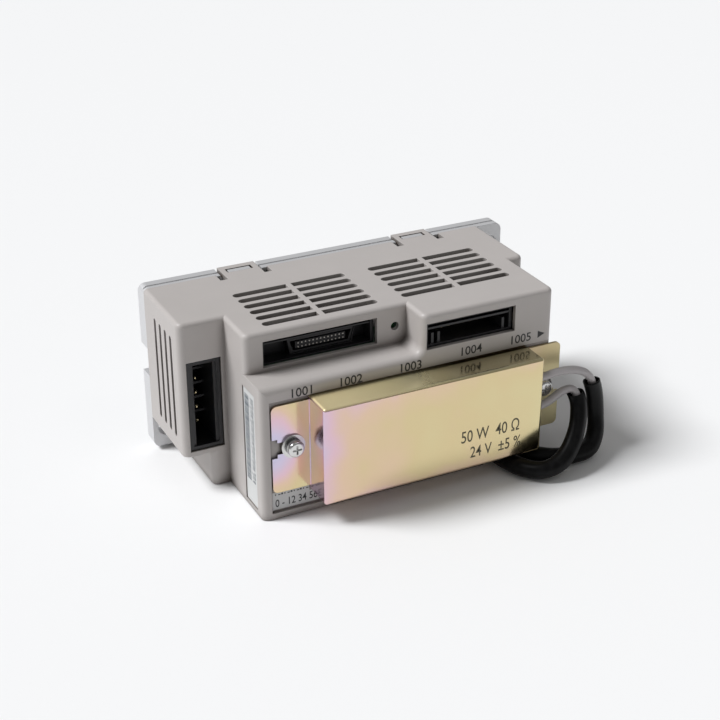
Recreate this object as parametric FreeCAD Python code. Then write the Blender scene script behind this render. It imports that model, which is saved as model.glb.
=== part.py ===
import FreeCAD, Part

# Stepper driver module: a moulded cover on an aluminium back plate, two circuit
# boards with their connectors, and a sheet-cased braking resistor with two leads.
#
# All sizes are millimetres. The layout frame used below has X from the cover's left
# face, Y from the front face of the lower block, and Z from the underside. When a
# piece is saved it moves to the row's frame: origin at the middle of the underside.

import math
import os

from FreeCAD import Vector

# ---------------------------------------------------------------- driving sizes

# Moulded cover
COVER_LENGTH = 117.0
COVER_HEIGHT = 58.5
COVER_DEPTH = 57.8
WALL = 1.5
LEFT_BAY_SETBACK = 27.2      # front wall of the left bay, behind the block's face
RECESS_SETBACK = 11.2        # wall of the middle recess
BLOCK_LEFT = 15.0            # left face of the front block
STEP_LEFT = 9.3              # left face of the low step under the left bay
STEP_HEIGHT = 12.4           # underside of the left bay
RIGHT_BLOCK_WIDTH = 47.3     # tall block that holds the wide keyed connector
SHELF_MARGIN = 1.0           # shelf of the recess, below the control board's upper side
EAR_OVERHANG = 5.4           # rear part that stands out on the right
VERTICAL_RADIUS = 2.2
TOP_RADIUS = 1.4
RECESS_RADIUS = 2.6

# Shallow seat for the resistor on the block's face
SEAT_DEPTH = 1.2
SEAT_LEFT = 18.0
SEAT_BOTTOM = 2.0
SEAT_TOP = 40.6

# Notch at the block's lower right, where the leads plug in
NOTCH_WIDTH = 24.0
NOTCH_HEIGHT = 11.0
NOTCH_DEPTH = 24.0

# Air slots
VENT_ROWS = 6
VENT_PITCH = 4.68
VENT_WIDTH = 2.8
VENT_FIRST_ROW = 16.4
VENT_RIB = 1.8
VENT_MARGIN_LEFT = 8.4        # beside the left group
VENT_MARGIN_MIDDLE = 7.4      # left of the recess end
VENT_MARGIN_INNER = 1.2       # right of the recess end
VENT_MARGIN_RIGHT = 6.9       # beside the right group
SIDE_SLOTS = 4
SIDE_SLOT_SHIFT = -1.18       # of the group, from the middle of the left end
SIDE_SLOT_WIDTH = 1.8
SIDE_SLOT_BOTTOM_GAP = 4.6   # above the left bay's underside
SIDE_SLOT_TOP_GAP = 6.4      # below the top

# Snap latches on the top rear edge
LATCH_CENTRES_FROM_ENDS = (33.6, 19.3)
LATCH_TAB_WIDTH = 12.8
LATCH_SLIT = 2.6
LATCH_SLIT_DEPTH = 4.6
LATCH_WINDOW_WIDTH = 9.0
LATCH_WINDOW_SETBACK = 0.5   # behind the cover's rear edge
LATCH_WINDOW_DEPTH = 2.8
LATCH_HOOK_GAP = 0.35
LATCH_HOOK_DROP = 0.15       # of the hook's top, below the cover's top
LATCH_PLATE_GAP = 0.9        # beside a tab, to the plate's cut

# Back plate
PLATE_OVERHANG = 15.0        # how much longer it is than the cover
PLATE_THICKNESS = 6.0
PLATE_BOTTOM = 0.8
PLATE_TOP_GAP = 0.4
PLATE_CORNER = 2.5
MOUNT_HOLE_RADIUS = 3.0
MOUNT_HOLE_INSET_X = 4.8
MOUNT_HOLE_HEIGHT = 7.6      # above the underside; the other is as far below the top
EDGE_SLOT_CENTRE = 32.5
EDGE_SLOT_WIDTH = 10.0
EDGE_SLOT_DEPTH = 8.0
GROOVE_WIDTH = 0.9
GROOVE_DEPTH = 0.8
GROOVE_SETBACK = 2.2         # from the plate's front

# Circuit boards
BOARD_THICKNESS = 1.6
BOARD_EDGE_GAP = 1.0
TONGUE_GAP = 0.2             # between the control board and the walls in front of it
STANDOFF_LENGTH = 5.2
STANDOFF_RADIUS = 2.75
STANDOFF_BORE = 1.5
BOARD_HOLE_RADIUS = 1.7
SCREW_M3_RADIUS = 1.45
SCREW_M3_HEAD_RADIUS = 2.7
SCREW_M3_HEAD = 2.0
CONTROL_BOARD_DROP = 12.2    # its upper side, below the top of the cover
BOSS_RADIUS = 2.6
BOSS_BORE = 1.15
BOSS_SCREW_RADIUS = 1.1
BOSS_SCREW_HEAD_RADIUS = 2.1
BOSS_SCREW_HEAD = 1.6
BOSS_SCREW_LENGTH = 6.0
BOSS_FRONT = 24.0            # first boss, from the block's face
BOSS_REAR = 14.0             # second boss, from the cover's rear edge
BOSS_RIGHT_REAR = 18.0       # right boss, from the cover's rear edge
BOSS_INSET = 3.2             # right boss, from the board's right edge
STANDOFF_LEFT = 14.5         # left spacers, from the power board's left edge
STANDOFF_INSET = 4.0         # all spacers, from the board's other edges
STANDOFF_SCREW_BITE = 3.0    # of the screws into the back plate
STANDOFF_TAP_DEPTH = 4.0

# Connectors
FIT_GAP = 0.25               # between a connector and its window
CONNECTOR_GAP = 0.3          # behind the wall that a connector looks through
POWER_PITCH = 5.08
POWER_WAYS = 5
POWER_BODY_WIDTH = 11.0
POWER_BODY_LEFT = 2.4
POWER_BODY_MARGIN = 2.7      # beyond the outer pins' cells
POWER_WALL = 1.2
POWER_FLOOR = 6.0            # solid part at the back of the body
POWER_RIB = 1.0              # upright guide strips along both long sides
POWER_RIB_SETBACK = 0.6
POWER_DIVIDER_LENGTH = 6.5
POWER_DIVIDER_THICKNESS = 0.8
POWER_PIN_HALF = 0.5
POWER_PIN_CLEARANCE = 0.05
POWER_PIN_LENGTH = 14.5
POWER_PIN_OFFSET = 0.3       # right of the body's middle
POWER_PIN_CHAMFER = 0.25
SIGNAL_PITCH = 1.27
SIGNAL_COLUMNS = 13
SIGNAL_INSET = 6.4           # from the block's left face
SIGNAL_BODY_WIDTH = 38.0
SIGNAL_BODY_DEPTH = 16.0
SIGNAL_CONTACT_OFFSET = 1.8  # middle of the contacts, right of the body's middle
SIGNAL_ROW_HEIGHT = 3.5      # middle of the contacts, above the control board
SIGNAL_ROW_HALF = 0.65       # half the distance between the two rows
SIGNAL_SETBACK = 0.5         # the body's front, behind the cover's wall
SIGNAL_WALL = 1.0            # around the body's mouth, at the sides and top
SIGNAL_MOUTH_FLOOR = 0.6     # under the mouth
SIGNAL_MOUTH_DEPTH = 6.05
SIGNAL_SHELL_SETBACK = 2.0   # the shell's front edge
SIGNAL_SHELL_DEPTH = 4.0
SIGNAL_SLOT_MARGIN = 2.0     # of the D-shaped slot, beyond the outer contacts
SIGNAL_SLOT_HALF_HEIGHT = 2.0
SIGNAL_SLOT_FLARE = 1.2      # how much longer the slot's upper side is, at each end
SIGNAL_SHELL_OUTER = 0.8
SIGNAL_SHELL_INNER = 0.45
SIGNAL_LINING_OUTER = 0.4
SIGNAL_LINING_INNER = -0.3
SIGNAL_TONGUE_HALF = 1.1
SIGNAL_TONGUE_MARGIN = 0.9
SIGNAL_LEDGE = (6.6, 7.1)    # heights of the ledge in the mouth, above the board
SIGNAL_CONTACT_HALF = 0.19
SIGNAL_CONTACT_CLEARANCE = 0.01
SIGNAL_CONTACT_END = 8.4     # the contacts' rear ends, behind the body's front line
WIDE_BODY_WIDTH = 31.2
WIDE_BODY_DEPTH = 13.0
WIDE_PITCH = 2.54
WIDE_COLUMNS = 10
WIDE_WALL = 1.0
WIDE_FLOOR = 3.0             # solid part at the back of the body
WIDE_LIP = (2.7, 2.0)        # depths of the lip's two faces, below the body's top
WIDE_KEY_WIDTH = 0.9
WIDE_KEY_HEIGHT = 3.7
WIDE_KEYS = (2.4, 4.6, 27.8)  # left sides of the keys, from the body's left side
WIDE_PIN_LENGTH = 7.0
BOX_PIN_HALF = 0.32
BOX_PIN_HOLE_HALF = 0.35
CONNECTOR_HEIGHT = 8.8
SIDE_BODY_DEPTH = 11.5
SIDE_BODY_WIDTH = 18.0
SIDE_BODY_SETBACK = 6.0
SIDE_WAYS = 5
SIDE_PITCH = 2.5
SIDE_WALL = 1.2
SIDE_FLOOR = 3.5
SIDE_PIN_LENGTH = 9.0

# Status light
LIGHT_RADIUS = 1.4
LIGHT_FROM_RECESS_END = 3.9
LIGHT_DROP = 7.2
LENS_RADIUS = 1.3
LENS_LENGTH = 2.5
LENS_SETBACK = 0.8           # behind the inside of the recess wall
LIGHT_HOLDER = 4.0
LIGHT_HOLDER_DEPTH = 3.2

# Braking resistor
CASE_LEFT = 31.2
CASE_LENGTH = 77.0
CASE_BOTTOM = 6.8
CASE_HEIGHT = 33.2
CASE_FRONT = 10.2            # how far it stands out from the block's face
SHEET = 0.9
SHEET_RADIUS = 1.0
FLANGE_WIDTH = 12.6
FLANGE_INSET_TOP = 1.2       # flange shorter than the case, at the top
FLANGE_INSET_BOTTOM = 2.1    # and at the bottom
FLANGE_OVERLAP = 1.5         # of the flange's blank into the case
FLANGE_CORNER = 1.8
SCREW_RISE = 0.9             # of the screws, above the case's middle
SLOT_WIDTH = 4.0
SLOT_MOUTH_WIDTH = 6.4
SLOT_MOUTH_DEPTH = 1.8
SLOT_CENTRE = 6.9            # from the flange's outer edge
LEAD_RADIUS = 1.35
LEAD_HOLE_RADIUS = 1.9
UPPER_LEAD_HEIGHT = 30.4
LOWER_LEAD_HEIGHT = 20.0
LEAD_PLANE = -5.2
WASHER_RADIUS = 3.9
WASHER_THICKNESS = 0.6
SPRING_RADIUS = 2.75
SPRING_THICKNESS = 0.8
SPRING_GAP = 0.7
INSERT_RADIUS = 2.1
INSERT_LENGTH = 6.0
INSERT_BOSS_RADIUS = 2.8
CROSS_RECESS_LENGTH = 3.0
CROSS_RECESS_WIDTH = 0.6
CROSS_RECESS_DEPTH = 1.1
HEAD_ROUND = 0.45            # radius of a pan head's rim, as a share of its height
RESISTOR_SCREW_LENGTH = 7.5

# Sleeves on the leads
SLEEVE_RADIUS = 3.0
SLEEVE_BORE = 2.5

# Plug of the leads, in the notch
PLUG_POLE_INSETS = (4.2, 11.4)  # from the notch's left side
PLUG_FRONT = 12.5
PLUG_LENGTH = 7.5
PLUG_MARGIN = 3.2
PLUG_BOTTOM = 0.3
PLUG_HEIGHT = 6.4
PLUG_ROUND = 0.6
HEADER_RIM = 0.4             # of the header, beyond the plug
STEM_RADIUS = 1.0
STEM_HOLE_RADIUS = 1.2
STEM_LENGTH = 5.0            # behind the notch's wall

# Labels
LABEL_THICKNESS = 0.12
RATING_LABEL_LENGTH = 34.0
RATING_LABEL_GAP = 0.5
CODE_LABEL_DEPTH = 8.5
CODE_LABEL_SETBACK = 4.9
CODE_LABEL_BOTTOM = 2.0
CODE_LABEL_HEIGHT = 39.0
CODE_SEAT_DEPTH = 0.4

# ---------------------------------------------------------------- derived places

EAR_RIGHT = COVER_LENGTH + EAR_OVERHANG
RECESS_RIGHT = COVER_LENGTH - RIGHT_BLOCK_WIDTH
SHELF_HEIGHT = COVER_HEIGHT - CONTROL_BOARD_DROP - SHELF_MARGIN
PLATE_LENGTH = COVER_LENGTH + PLATE_OVERHANG
PLATE_FRONT = COVER_DEPTH
PLATE_BACK = COVER_DEPTH + PLATE_THICKNESS
PLATE_TOP = COVER_HEIGHT - PLATE_TOP_GAP
LATCH_CENTRES = (LATCH_CENTRES_FROM_ENDS[0], COVER_LENGTH - LATCH_CENTRES_FROM_ENDS[1])
LATCH_TAB_THICKNESS = WALL + 0.4

POWER_BOARD_BACK = PLATE_FRONT - STANDOFF_LENGTH
POWER_BOARD_FRONT = POWER_BOARD_BACK - BOARD_THICKNESS
CONTROL_TOP = COVER_HEIGHT - CONTROL_BOARD_DROP
CONTROL_BOTTOM = CONTROL_TOP - BOARD_THICKNESS
POWER_BOARD_BOTTOM = STEP_HEIGHT + WALL + BOARD_EDGE_GAP
POWER_BOARD_TOP = CONTROL_BOTTOM - BOARD_EDGE_GAP
POWER_BOARD_LEFT = WALL + BOARD_EDGE_GAP
POWER_BOARD_RIGHT = COVER_LENGTH - WALL - BOARD_EDGE_GAP
CONTROL_RIGHT = COVER_LENGTH - WALL - BOARD_EDGE_GAP
CONTROL_LEFT = BLOCK_LEFT + WALL + BOARD_EDGE_GAP
CONTROL_BACK = POWER_BOARD_FRONT - BOARD_EDGE_GAP

POWER_BODY_HEIGHT = POWER_WAYS * POWER_PITCH + 2 * POWER_BODY_MARGIN
POWER_BODY_BOTTOM = STEP_HEIGHT + WALL + FIT_GAP
POWER_BODY_RIGHT = POWER_BODY_LEFT + POWER_BODY_WIDTH
SIGNAL_LEFT = BLOCK_LEFT + SIGNAL_INSET
SIGNAL_FRONT = RECESS_SETBACK + WALL + CONNECTOR_GAP
WIDE_LEFT = RECESS_RIGHT + WALL + FIT_GAP
WIDE_FRONT = WALL + CONNECTOR_GAP
CONNECTOR_TOP = CONTROL_TOP + CONNECTOR_HEIGHT
SIDE_RIGHT = COVER_LENGTH - WALL - CONNECTOR_GAP

SEAT_FACE = SEAT_DEPTH
CASE_RIGHT = CASE_LEFT + CASE_LENGTH
CASE_TOP = CASE_BOTTOM + CASE_HEIGHT
FLANGE_LEFT = CASE_LEFT - FLANGE_WIDTH
FLANGE_RIGHT = CASE_RIGHT + FLANGE_WIDTH
FLANGE_FRONT = SEAT_FACE - SHEET
SCREW_HEIGHT = CASE_BOTTOM + CASE_HEIGHT / 2 + SCREW_RISE
SCREW_PLACES = (FLANGE_LEFT + SLOT_CENTRE, FLANGE_RIGHT - SLOT_CENTRE)
NOTCH_LEFT = COVER_LENGTH - NOTCH_WIDTH
PLUG_POLES = tuple(NOTCH_LEFT + inset for inset in PLUG_POLE_INSETS)

ORIGIN = Vector(PLATE_LENGTH / 2, (PLATE_BACK - CASE_FRONT) / 2, 0)


# ---------------------------------------------------------------- basic shapes

def block(x0, x1, y0, y1, z0, z1):
    """A box between two corners."""
    return Part.makeBox(x1 - x0, y1 - y0, z1 - z0, Vector(x0, y0, z0))


def rod_x(x0, x1, y, z, radius):
    """A cylinder along X."""
    return Part.makeCylinder(radius, x1 - x0, Vector(x0, y, z), Vector(1, 0, 0))


def rod_y(x, y0, y1, z, radius):
    """A cylinder along Y."""
    return Part.makeCylinder(radius, y1 - y0, Vector(x, y0, z), Vector(0, 1, 0))


def rod_z(x, y, z0, z1, radius):
    """A cylinder along Z."""
    return Part.makeCylinder(radius, z1 - z0, Vector(x, y, z0), Vector(0, 0, 1))


def prism_z(points, z0, z1):
    """A plan outline, given as (x, y) points, raised from z0 to z1."""
    ring = [Vector(x, y, z0) for x, y in points]
    wire = Part.makePolygon(ring + ring[:1])
    return Part.Face(wire).extrude(Vector(0, 0, z1 - z0))


def merged(shapes):
    """One solid from overlapping shapes."""
    return shapes[0].multiFuse(shapes[1:]).removeSplitter() if len(shapes) > 1 else shapes[0]


def cut(shape, tools):
    """A shape less its tools."""
    return shape.cut(tools) if tools else shape


def grouped(shapes):
    """Separate solids kept in one node."""
    return Part.makeCompound(shapes)


def vertical_edges(shape, places, z_low, z_high):
    """Edges that run along Z at the given (x, y) places, between two heights."""
    found = []
    for edge in shape.Edges:
        box = edge.BoundBox
        if box.XLength > 1e-4 or box.YLength > 1e-4 or box.ZLength < 1e-3:
            continue
        inside = box.ZMin > z_low - 1e-3 and box.ZMax < z_high + 1e-3
        near = any(abs(box.XMin - x) < 1e-3 and abs(box.YMin - y) < 1e-3 for x, y in places)
        if inside and near:
            found.append(edge)
    return found


def edges_at_height(shape, z):
    """Edges that lie flat at one height."""
    return [e for e in shape.Edges if abs(e.BoundBox.ZMin - z) < 1e-4 and e.BoundBox.ZLength < 1e-4]


# ---------------------------------------------------------------- moulded cover

def cover_mass(inset):
    """The cover's outline as one solid; an inset moves every face inwards."""
    i = inset
    back = COVER_DEPTH
    upper = prism_z([
        (i, back), (i, LEFT_BAY_SETBACK + i), (BLOCK_LEFT + i, LEFT_BAY_SETBACK + i),
        (BLOCK_LEFT + i, i), (COVER_LENGTH - i, i), (COVER_LENGTH - i, LEFT_BAY_SETBACK + i),
        (EAR_RIGHT - i, LEFT_BAY_SETBACK + i), (EAR_RIGHT - i, back),
    ], STEP_HEIGHT + i, COVER_HEIGHT - i)
    lower = prism_z([
        (STEP_LEFT + i, back), (STEP_LEFT + i, LEFT_BAY_SETBACK + i),
        (BLOCK_LEFT + i, LEFT_BAY_SETBACK + i), (BLOCK_LEFT + i, i),
        (COVER_LENGTH - i, i), (COVER_LENGTH - i, back),
    ], i, STEP_HEIGHT + i)
    mass = merged([upper, lower])
    over = 5.0
    recess = block(BLOCK_LEFT - over, RECESS_RIGHT + i, -over, RECESS_SETBACK + i,
                   SHELF_HEIGHT - i, COVER_HEIGHT + over)
    notch = block(NOTCH_LEFT - i, COVER_LENGTH + over, -over, NOTCH_DEPTH + i,
                  -over, NOTCH_HEIGHT + i)
    if i:
        return mass.cut([recess, notch])
    recess = recess.makeFillet(RECESS_RADIUS, [
        e for e in recess.Edges
        if abs(e.BoundBox.XMin - RECESS_RIGHT) < 1e-4 and abs(e.BoundBox.XMax - RECESS_RIGHT) < 1e-4
        and abs(e.BoundBox.ZMax - SHELF_HEIGHT) < 1e-4 and e.BoundBox.ZLength < 1e-4])
    return mass.cut([recess, notch])


def cover_outside():
    """The outside of the cover with its moulded radii."""
    mass = cover_mass(0)
    corners = [
        (0, LEFT_BAY_SETBACK), (BLOCK_LEFT, 0), (COVER_LENGTH, 0), (RECESS_RIGHT, 0),
        (EAR_RIGHT, LEFT_BAY_SETBACK), (STEP_LEFT, LEFT_BAY_SETBACK), (BLOCK_LEFT, RECESS_SETBACK),
    ]
    mass = mass.makeFillet(VERTICAL_RADIUS, vertical_edges(mass, corners, -1, COVER_HEIGHT + 1))
    top = [e for e in edges_at_height(mass, COVER_HEIGHT)
           if e.BoundBox.YMax < COVER_DEPTH - 1e-3 or e.BoundBox.YLength > 1e-3]
    mass = mass.makeFillet(TOP_RADIUS, top)
    shelf_front = [e for e in edges_at_height(mass, SHELF_HEIGHT)
                   if abs(e.BoundBox.YMax) < 1e-4 and e.BoundBox.XLength > 10]
    return mass.makeFillet(TOP_RADIUS, shelf_front) if shelf_front else mass


def vent_slots():
    """Round-ended air slots in the top: two groups of two columns."""
    groups = (
        (BLOCK_LEFT + VENT_MARGIN_LEFT, RECESS_RIGHT - VENT_MARGIN_MIDDLE),
        (RECESS_RIGHT + VENT_MARGIN_INNER, COVER_LENGTH - VENT_MARGIN_RIGHT),
    )
    z0, z1 = COVER_HEIGHT - WALL - 1, COVER_HEIGHT + 1
    half = VENT_WIDTH / 2
    slots = []
    for left, right in groups:
        middle = (left + right) / 2
        for row in range(VENT_ROWS):
            y = VENT_FIRST_ROW + row * VENT_PITCH
            for round_x, square_x in ((left + half, middle - VENT_RIB / 2),
                                      (right - half, middle + VENT_RIB / 2)):
                x0, x1 = sorted((round_x, square_x))
                slots.append(merged([block(x0, x1, y - half, y + half, z0, z1),
                                     rod_z(round_x, y, z0, z1, half)]))
    return slots


def side_slots():
    """Upright air slots in the left end."""
    half = SIDE_SLOT_WIDTH / 2
    z0 = STEP_HEIGHT + SIDE_SLOT_BOTTOM_GAP + half
    z1 = COVER_HEIGHT - SIDE_SLOT_TOP_GAP - half
    middle = (LEFT_BAY_SETBACK + COVER_DEPTH) / 2 + SIDE_SLOT_SHIFT
    slots = []
    for number in range(SIDE_SLOTS):
        y = middle + (number - (SIDE_SLOTS - 1) / 2) * VENT_PITCH
        slots.append(merged([block(-1, WALL + 1, y - half, y + half, z0, z1),
                             rod_x(-1, WALL + 1, y, z0, half), rod_x(-1, WALL + 1, y, z1, half)]))
    return slots


def connector_windows():
    """Openings in the walls for the four connectors and the status light."""
    g = FIT_GAP
    return [
        block(POWER_BODY_LEFT - g, POWER_BODY_RIGHT + g, LEFT_BAY_SETBACK - 1, LEFT_BAY_SETBACK + WALL + 1,
              POWER_BODY_BOTTOM - g, POWER_BODY_BOTTOM + POWER_BODY_HEIGHT + g),
        block(SIGNAL_LEFT - g, SIGNAL_LEFT + SIGNAL_BODY_WIDTH + g, RECESS_SETBACK - 1,
              RECESS_SETBACK + WALL + 1, CONTROL_TOP + g, CONNECTOR_TOP + g),
        block(WIDE_LEFT - g, WIDE_LEFT + WIDE_BODY_WIDTH + g, -1, WALL + 1,
              CONTROL_TOP + g, CONNECTOR_TOP + g),
        block(COVER_LENGTH - WALL - 1, COVER_LENGTH + 1, SIDE_BODY_SETBACK - g,
              SIDE_BODY_SETBACK + SIDE_BODY_WIDTH + g, CONTROL_TOP + g, CONNECTOR_TOP + g),
        rod_y(RECESS_RIGHT - LIGHT_FROM_RECESS_END, RECESS_SETBACK - 1, RECESS_SETBACK + WALL + 1,
              COVER_HEIGHT - LIGHT_DROP, LIGHT_RADIUS),
    ]


def latch_cuts():
    """Slits beside each latch tab, and the window that its hook stands in."""
    cuts = []
    for x in LATCH_CENTRES:
        for side in (-1, 1):
            edge = x + side * LATCH_TAB_WIDTH / 2
            x0, x1 = sorted((edge, edge + side * LATCH_SLIT))
            cuts.append(block(x0, x1, COVER_DEPTH - LATCH_SLIT_DEPTH, PLATE_BACK + 1,
                              COVER_HEIGHT - 3, COVER_HEIGHT + 1))
        y0 = COVER_DEPTH + LATCH_WINDOW_SETBACK
        cuts.append(block(x - LATCH_WINDOW_WIDTH / 2, x + LATCH_WINDOW_WIDTH / 2, y0,
                          y0 + LATCH_WINDOW_DEPTH, COVER_HEIGHT - 3, COVER_HEIGHT + 1))
    return cuts


def latch_tabs():
    """Flexible tabs that lie over the back plate's top edge."""
    return [block(x - LATCH_TAB_WIDTH / 2, x + LATCH_TAB_WIDTH / 2, COVER_DEPTH - 1, PLATE_BACK - 0.3,
                  COVER_HEIGHT - LATCH_TAB_THICKNESS, COVER_HEIGHT) for x in LATCH_CENTRES]


def boss_places():
    """Where the control board is screwed up to the cover."""
    between_vents = RECESS_RIGHT - (VENT_MARGIN_MIDDLE - VENT_MARGIN_INNER) / 2
    return ((between_vents, BOSS_FRONT), (between_vents, COVER_DEPTH - BOSS_REAR),
            (CONTROL_RIGHT - BOSS_INSET, COVER_DEPTH - BOSS_RIGHT_REAR))


def cover():
    """The moulded cover: a shell open at the back, with bosses, windows and air slots."""
    inside = cover_mass(WALL)
    behind_seat = block(-1, COVER_LENGTH + 1, -1, SEAT_DEPTH + WALL, -1, SEAT_TOP + WALL)
    inside = inside.cut(behind_seat)
    shell = cover_outside().cut(inside)
    bosses = [rod_z(x, y, CONTROL_TOP, COVER_HEIGHT - WALL / 2, BOSS_RADIUS) for x, y in boss_places()]
    bosses += [rod_y(x, SEAT_DEPTH + 0.2, SEAT_DEPTH + WALL + INSERT_LENGTH, SCREW_HEIGHT, INSERT_BOSS_RADIUS)
               for x in SCREW_PLACES]
    shell = merged([shell] + bosses + latch_tabs())
    tools = vent_slots() + side_slots() + connector_windows() + latch_cuts()
    tools.append(block(SEAT_LEFT, COVER_LENGTH + 1, -1, SEAT_DEPTH, SEAT_BOTTOM, SEAT_TOP))
    tools.append(block(BLOCK_LEFT - 1, BLOCK_LEFT + CODE_SEAT_DEPTH, CODE_LABEL_SETBACK - 0.4,
                       CODE_LABEL_SETBACK + CODE_LABEL_DEPTH + 0.4, CODE_LABEL_BOTTOM - 0.4,
                       CODE_LABEL_BOTTOM + CODE_LABEL_HEIGHT + 0.4))
    tools += [rod_z(x, y, CONTROL_TOP - 1, COVER_HEIGHT - WALL - 0.6, BOSS_BORE) for x, y in boss_places()]
    tools += [rod_y(x, -1, SEAT_DEPTH + WALL + INSERT_LENGTH + 1, SCREW_HEIGHT, INSERT_RADIUS)
              for x in SCREW_PLACES]
    for x in PLUG_POLES:
        tools.append(rod_y(x, NOTCH_DEPTH - 1, NOTCH_DEPTH + WALL + 1,
                           PLUG_BOTTOM + PLUG_HEIGHT / 2, STEM_HOLE_RADIUS))
    return shell.cut(tools)


# ---------------------------------------------------------------- back plate

def back_plate():
    """The aluminium plate that carries everything and takes the heat away."""
    plate = block(0, PLATE_LENGTH, PLATE_FRONT, PLATE_BACK, PLATE_BOTTOM, PLATE_TOP)
    along_y = [e for e in plate.Edges if e.BoundBox.YLength > 1 and e.BoundBox.XLength < 1e-4]
    plate = plate.makeFillet(PLATE_CORNER, along_y)
    low, high = MOUNT_HOLE_HEIGHT, COVER_HEIGHT - MOUNT_HOLE_HEIGHT
    y0, y1 = PLATE_FRONT - 1, PLATE_BACK + 1
    half = EDGE_SLOT_WIDTH / 2
    tools = [
        rod_y(MOUNT_HOLE_INSET_X, y0, y1, low, MOUNT_HOLE_RADIUS),
        rod_y(PLATE_LENGTH - MOUNT_HOLE_INSET_X, y0, y1, high, MOUNT_HOLE_RADIUS),
        merged([block(-1, EDGE_SLOT_DEPTH - half, y0, y1, EDGE_SLOT_CENTRE - half, EDGE_SLOT_CENTRE + half),
                rod_y(EDGE_SLOT_DEPTH - half, y0, y1, EDGE_SLOT_CENTRE, half)]),
        block(-1, PLATE_LENGTH + 1, PLATE_FRONT + GROOVE_SETBACK, PLATE_FRONT + GROOVE_SETBACK + GROOVE_WIDTH,
              PLATE_TOP - GROOVE_DEPTH, PLATE_TOP + 1),
    ]
    room = LATCH_TAB_WIDTH / 2 + LATCH_PLATE_GAP
    for x in LATCH_CENTRES:
        tools.append(block(x - room, x + room, y0, y1,
                           COVER_HEIGHT - LATCH_TAB_THICKNESS - FIT_GAP, PLATE_TOP + 1))
    tools += [rod_y(x, y0, PLATE_FRONT + STANDOFF_TAP_DEPTH, z, STANDOFF_BORE) for x, z in standoff_places()]
    reach = LATCH_WINDOW_WIDTH / 2 - 2 * LATCH_HOOK_GAP
    hook_front = COVER_DEPTH + LATCH_WINDOW_SETBACK + LATCH_HOOK_GAP
    hook_back = COVER_DEPTH + LATCH_WINDOW_SETBACK + LATCH_WINDOW_DEPTH - LATCH_HOOK_GAP
    hooks = [block(x - reach, x + reach, hook_front, hook_back, COVER_HEIGHT - LATCH_TAB_THICKNESS - 1,
                   COVER_HEIGHT - LATCH_HOOK_DROP) for x in LATCH_CENTRES]
    return merged([plate.cut(tools)] + hooks)


def standoff_places():
    """(x, z) of the power board's four fixings."""
    left, right = POWER_BOARD_LEFT + STANDOFF_LEFT, POWER_BOARD_RIGHT - STANDOFF_INSET
    low, high = POWER_BOARD_BOTTOM + STANDOFF_INSET, POWER_BOARD_TOP - STANDOFF_INSET
    return ((left, low), (right, low), (left, high), (right, high))


def standoffs():
    """Four round spacers between the back plate and the power board."""
    return grouped([
        rod_y(x, POWER_BOARD_BACK, PLATE_FRONT, z, STANDOFF_RADIUS).cut(
            rod_y(x, POWER_BOARD_BACK - 1, PLATE_FRONT + 1, z, STANDOFF_BORE))
        for x, z in standoff_places()])


def pan_screw_y(x, y_seat, z, shank_length, shank_radius, head_radius, head_length):
    """A pan-head screw driven towards +Y, with a cross recess in its head."""
    head = rod_y(x, y_seat - head_length, y_seat, z, head_radius)
    rim = [e for e in head.Edges if e.BoundBox.YMax < y_seat - head_length + 1e-4]
    head = head.makeFillet(head_length * HEAD_ROUND, rim)
    shank = rod_y(x, y_seat - 0.2, y_seat + shank_length, z, shank_radius)
    y0 = y_seat - head_length - 0.1
    arm, half = CROSS_RECESS_LENGTH / 2, CROSS_RECESS_WIDTH / 2
    cross = [block(x - arm, x + arm, y0, y0 + CROSS_RECESS_DEPTH, z - half, z + half),
             block(x - half, x + half, y0, y0 + CROSS_RECESS_DEPTH, z - arm, z + arm)]
    return merged([head, shank]).cut(cross)


def board_screws():
    """Four screws that hold the power board on its spacers."""
    length = BOARD_THICKNESS + STANDOFF_LENGTH + STANDOFF_SCREW_BITE
    return grouped([pan_screw_y(x, POWER_BOARD_FRONT, z, length, SCREW_M3_RADIUS,
                                SCREW_M3_HEAD_RADIUS, SCREW_M3_HEAD) for x, z in standoff_places()])


# ---------------------------------------------------------------- power board

def power_board():
    """The upright board parallel to the back plate."""
    board = block(POWER_BOARD_LEFT, POWER_BOARD_RIGHT, POWER_BOARD_FRONT, POWER_BOARD_BACK,
                  POWER_BOARD_BOTTOM, POWER_BOARD_TOP)
    return cut(board, [rod_y(x, POWER_BOARD_FRONT - 1, POWER_BOARD_BACK + 1, z, BOARD_HOLE_RADIUS)
                       for x, z in standoff_places()])


MODULE_WIDTH = 44.0
MODULE_HEIGHT = 20.0
MODULE_PAD = 0.5
MODULE_GAP = 0.5
MODULE_OFFSET = 4.0          # right of the board's middle
MODULE_LEGS = 14
LEG_PITCH = 3.0
LEG_WIDTH = 1.0
LEG_THICKNESS = 0.8
LEG_INSET = 0.6


def module_corner():
    """Left and bottom of the power module, centred on the power board."""
    return ((POWER_BOARD_LEFT + POWER_BOARD_RIGHT - MODULE_WIDTH) / 2 + MODULE_OFFSET,
            (POWER_BOARD_BOTTOM + POWER_BOARD_TOP - MODULE_HEIGHT) / 2)


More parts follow.
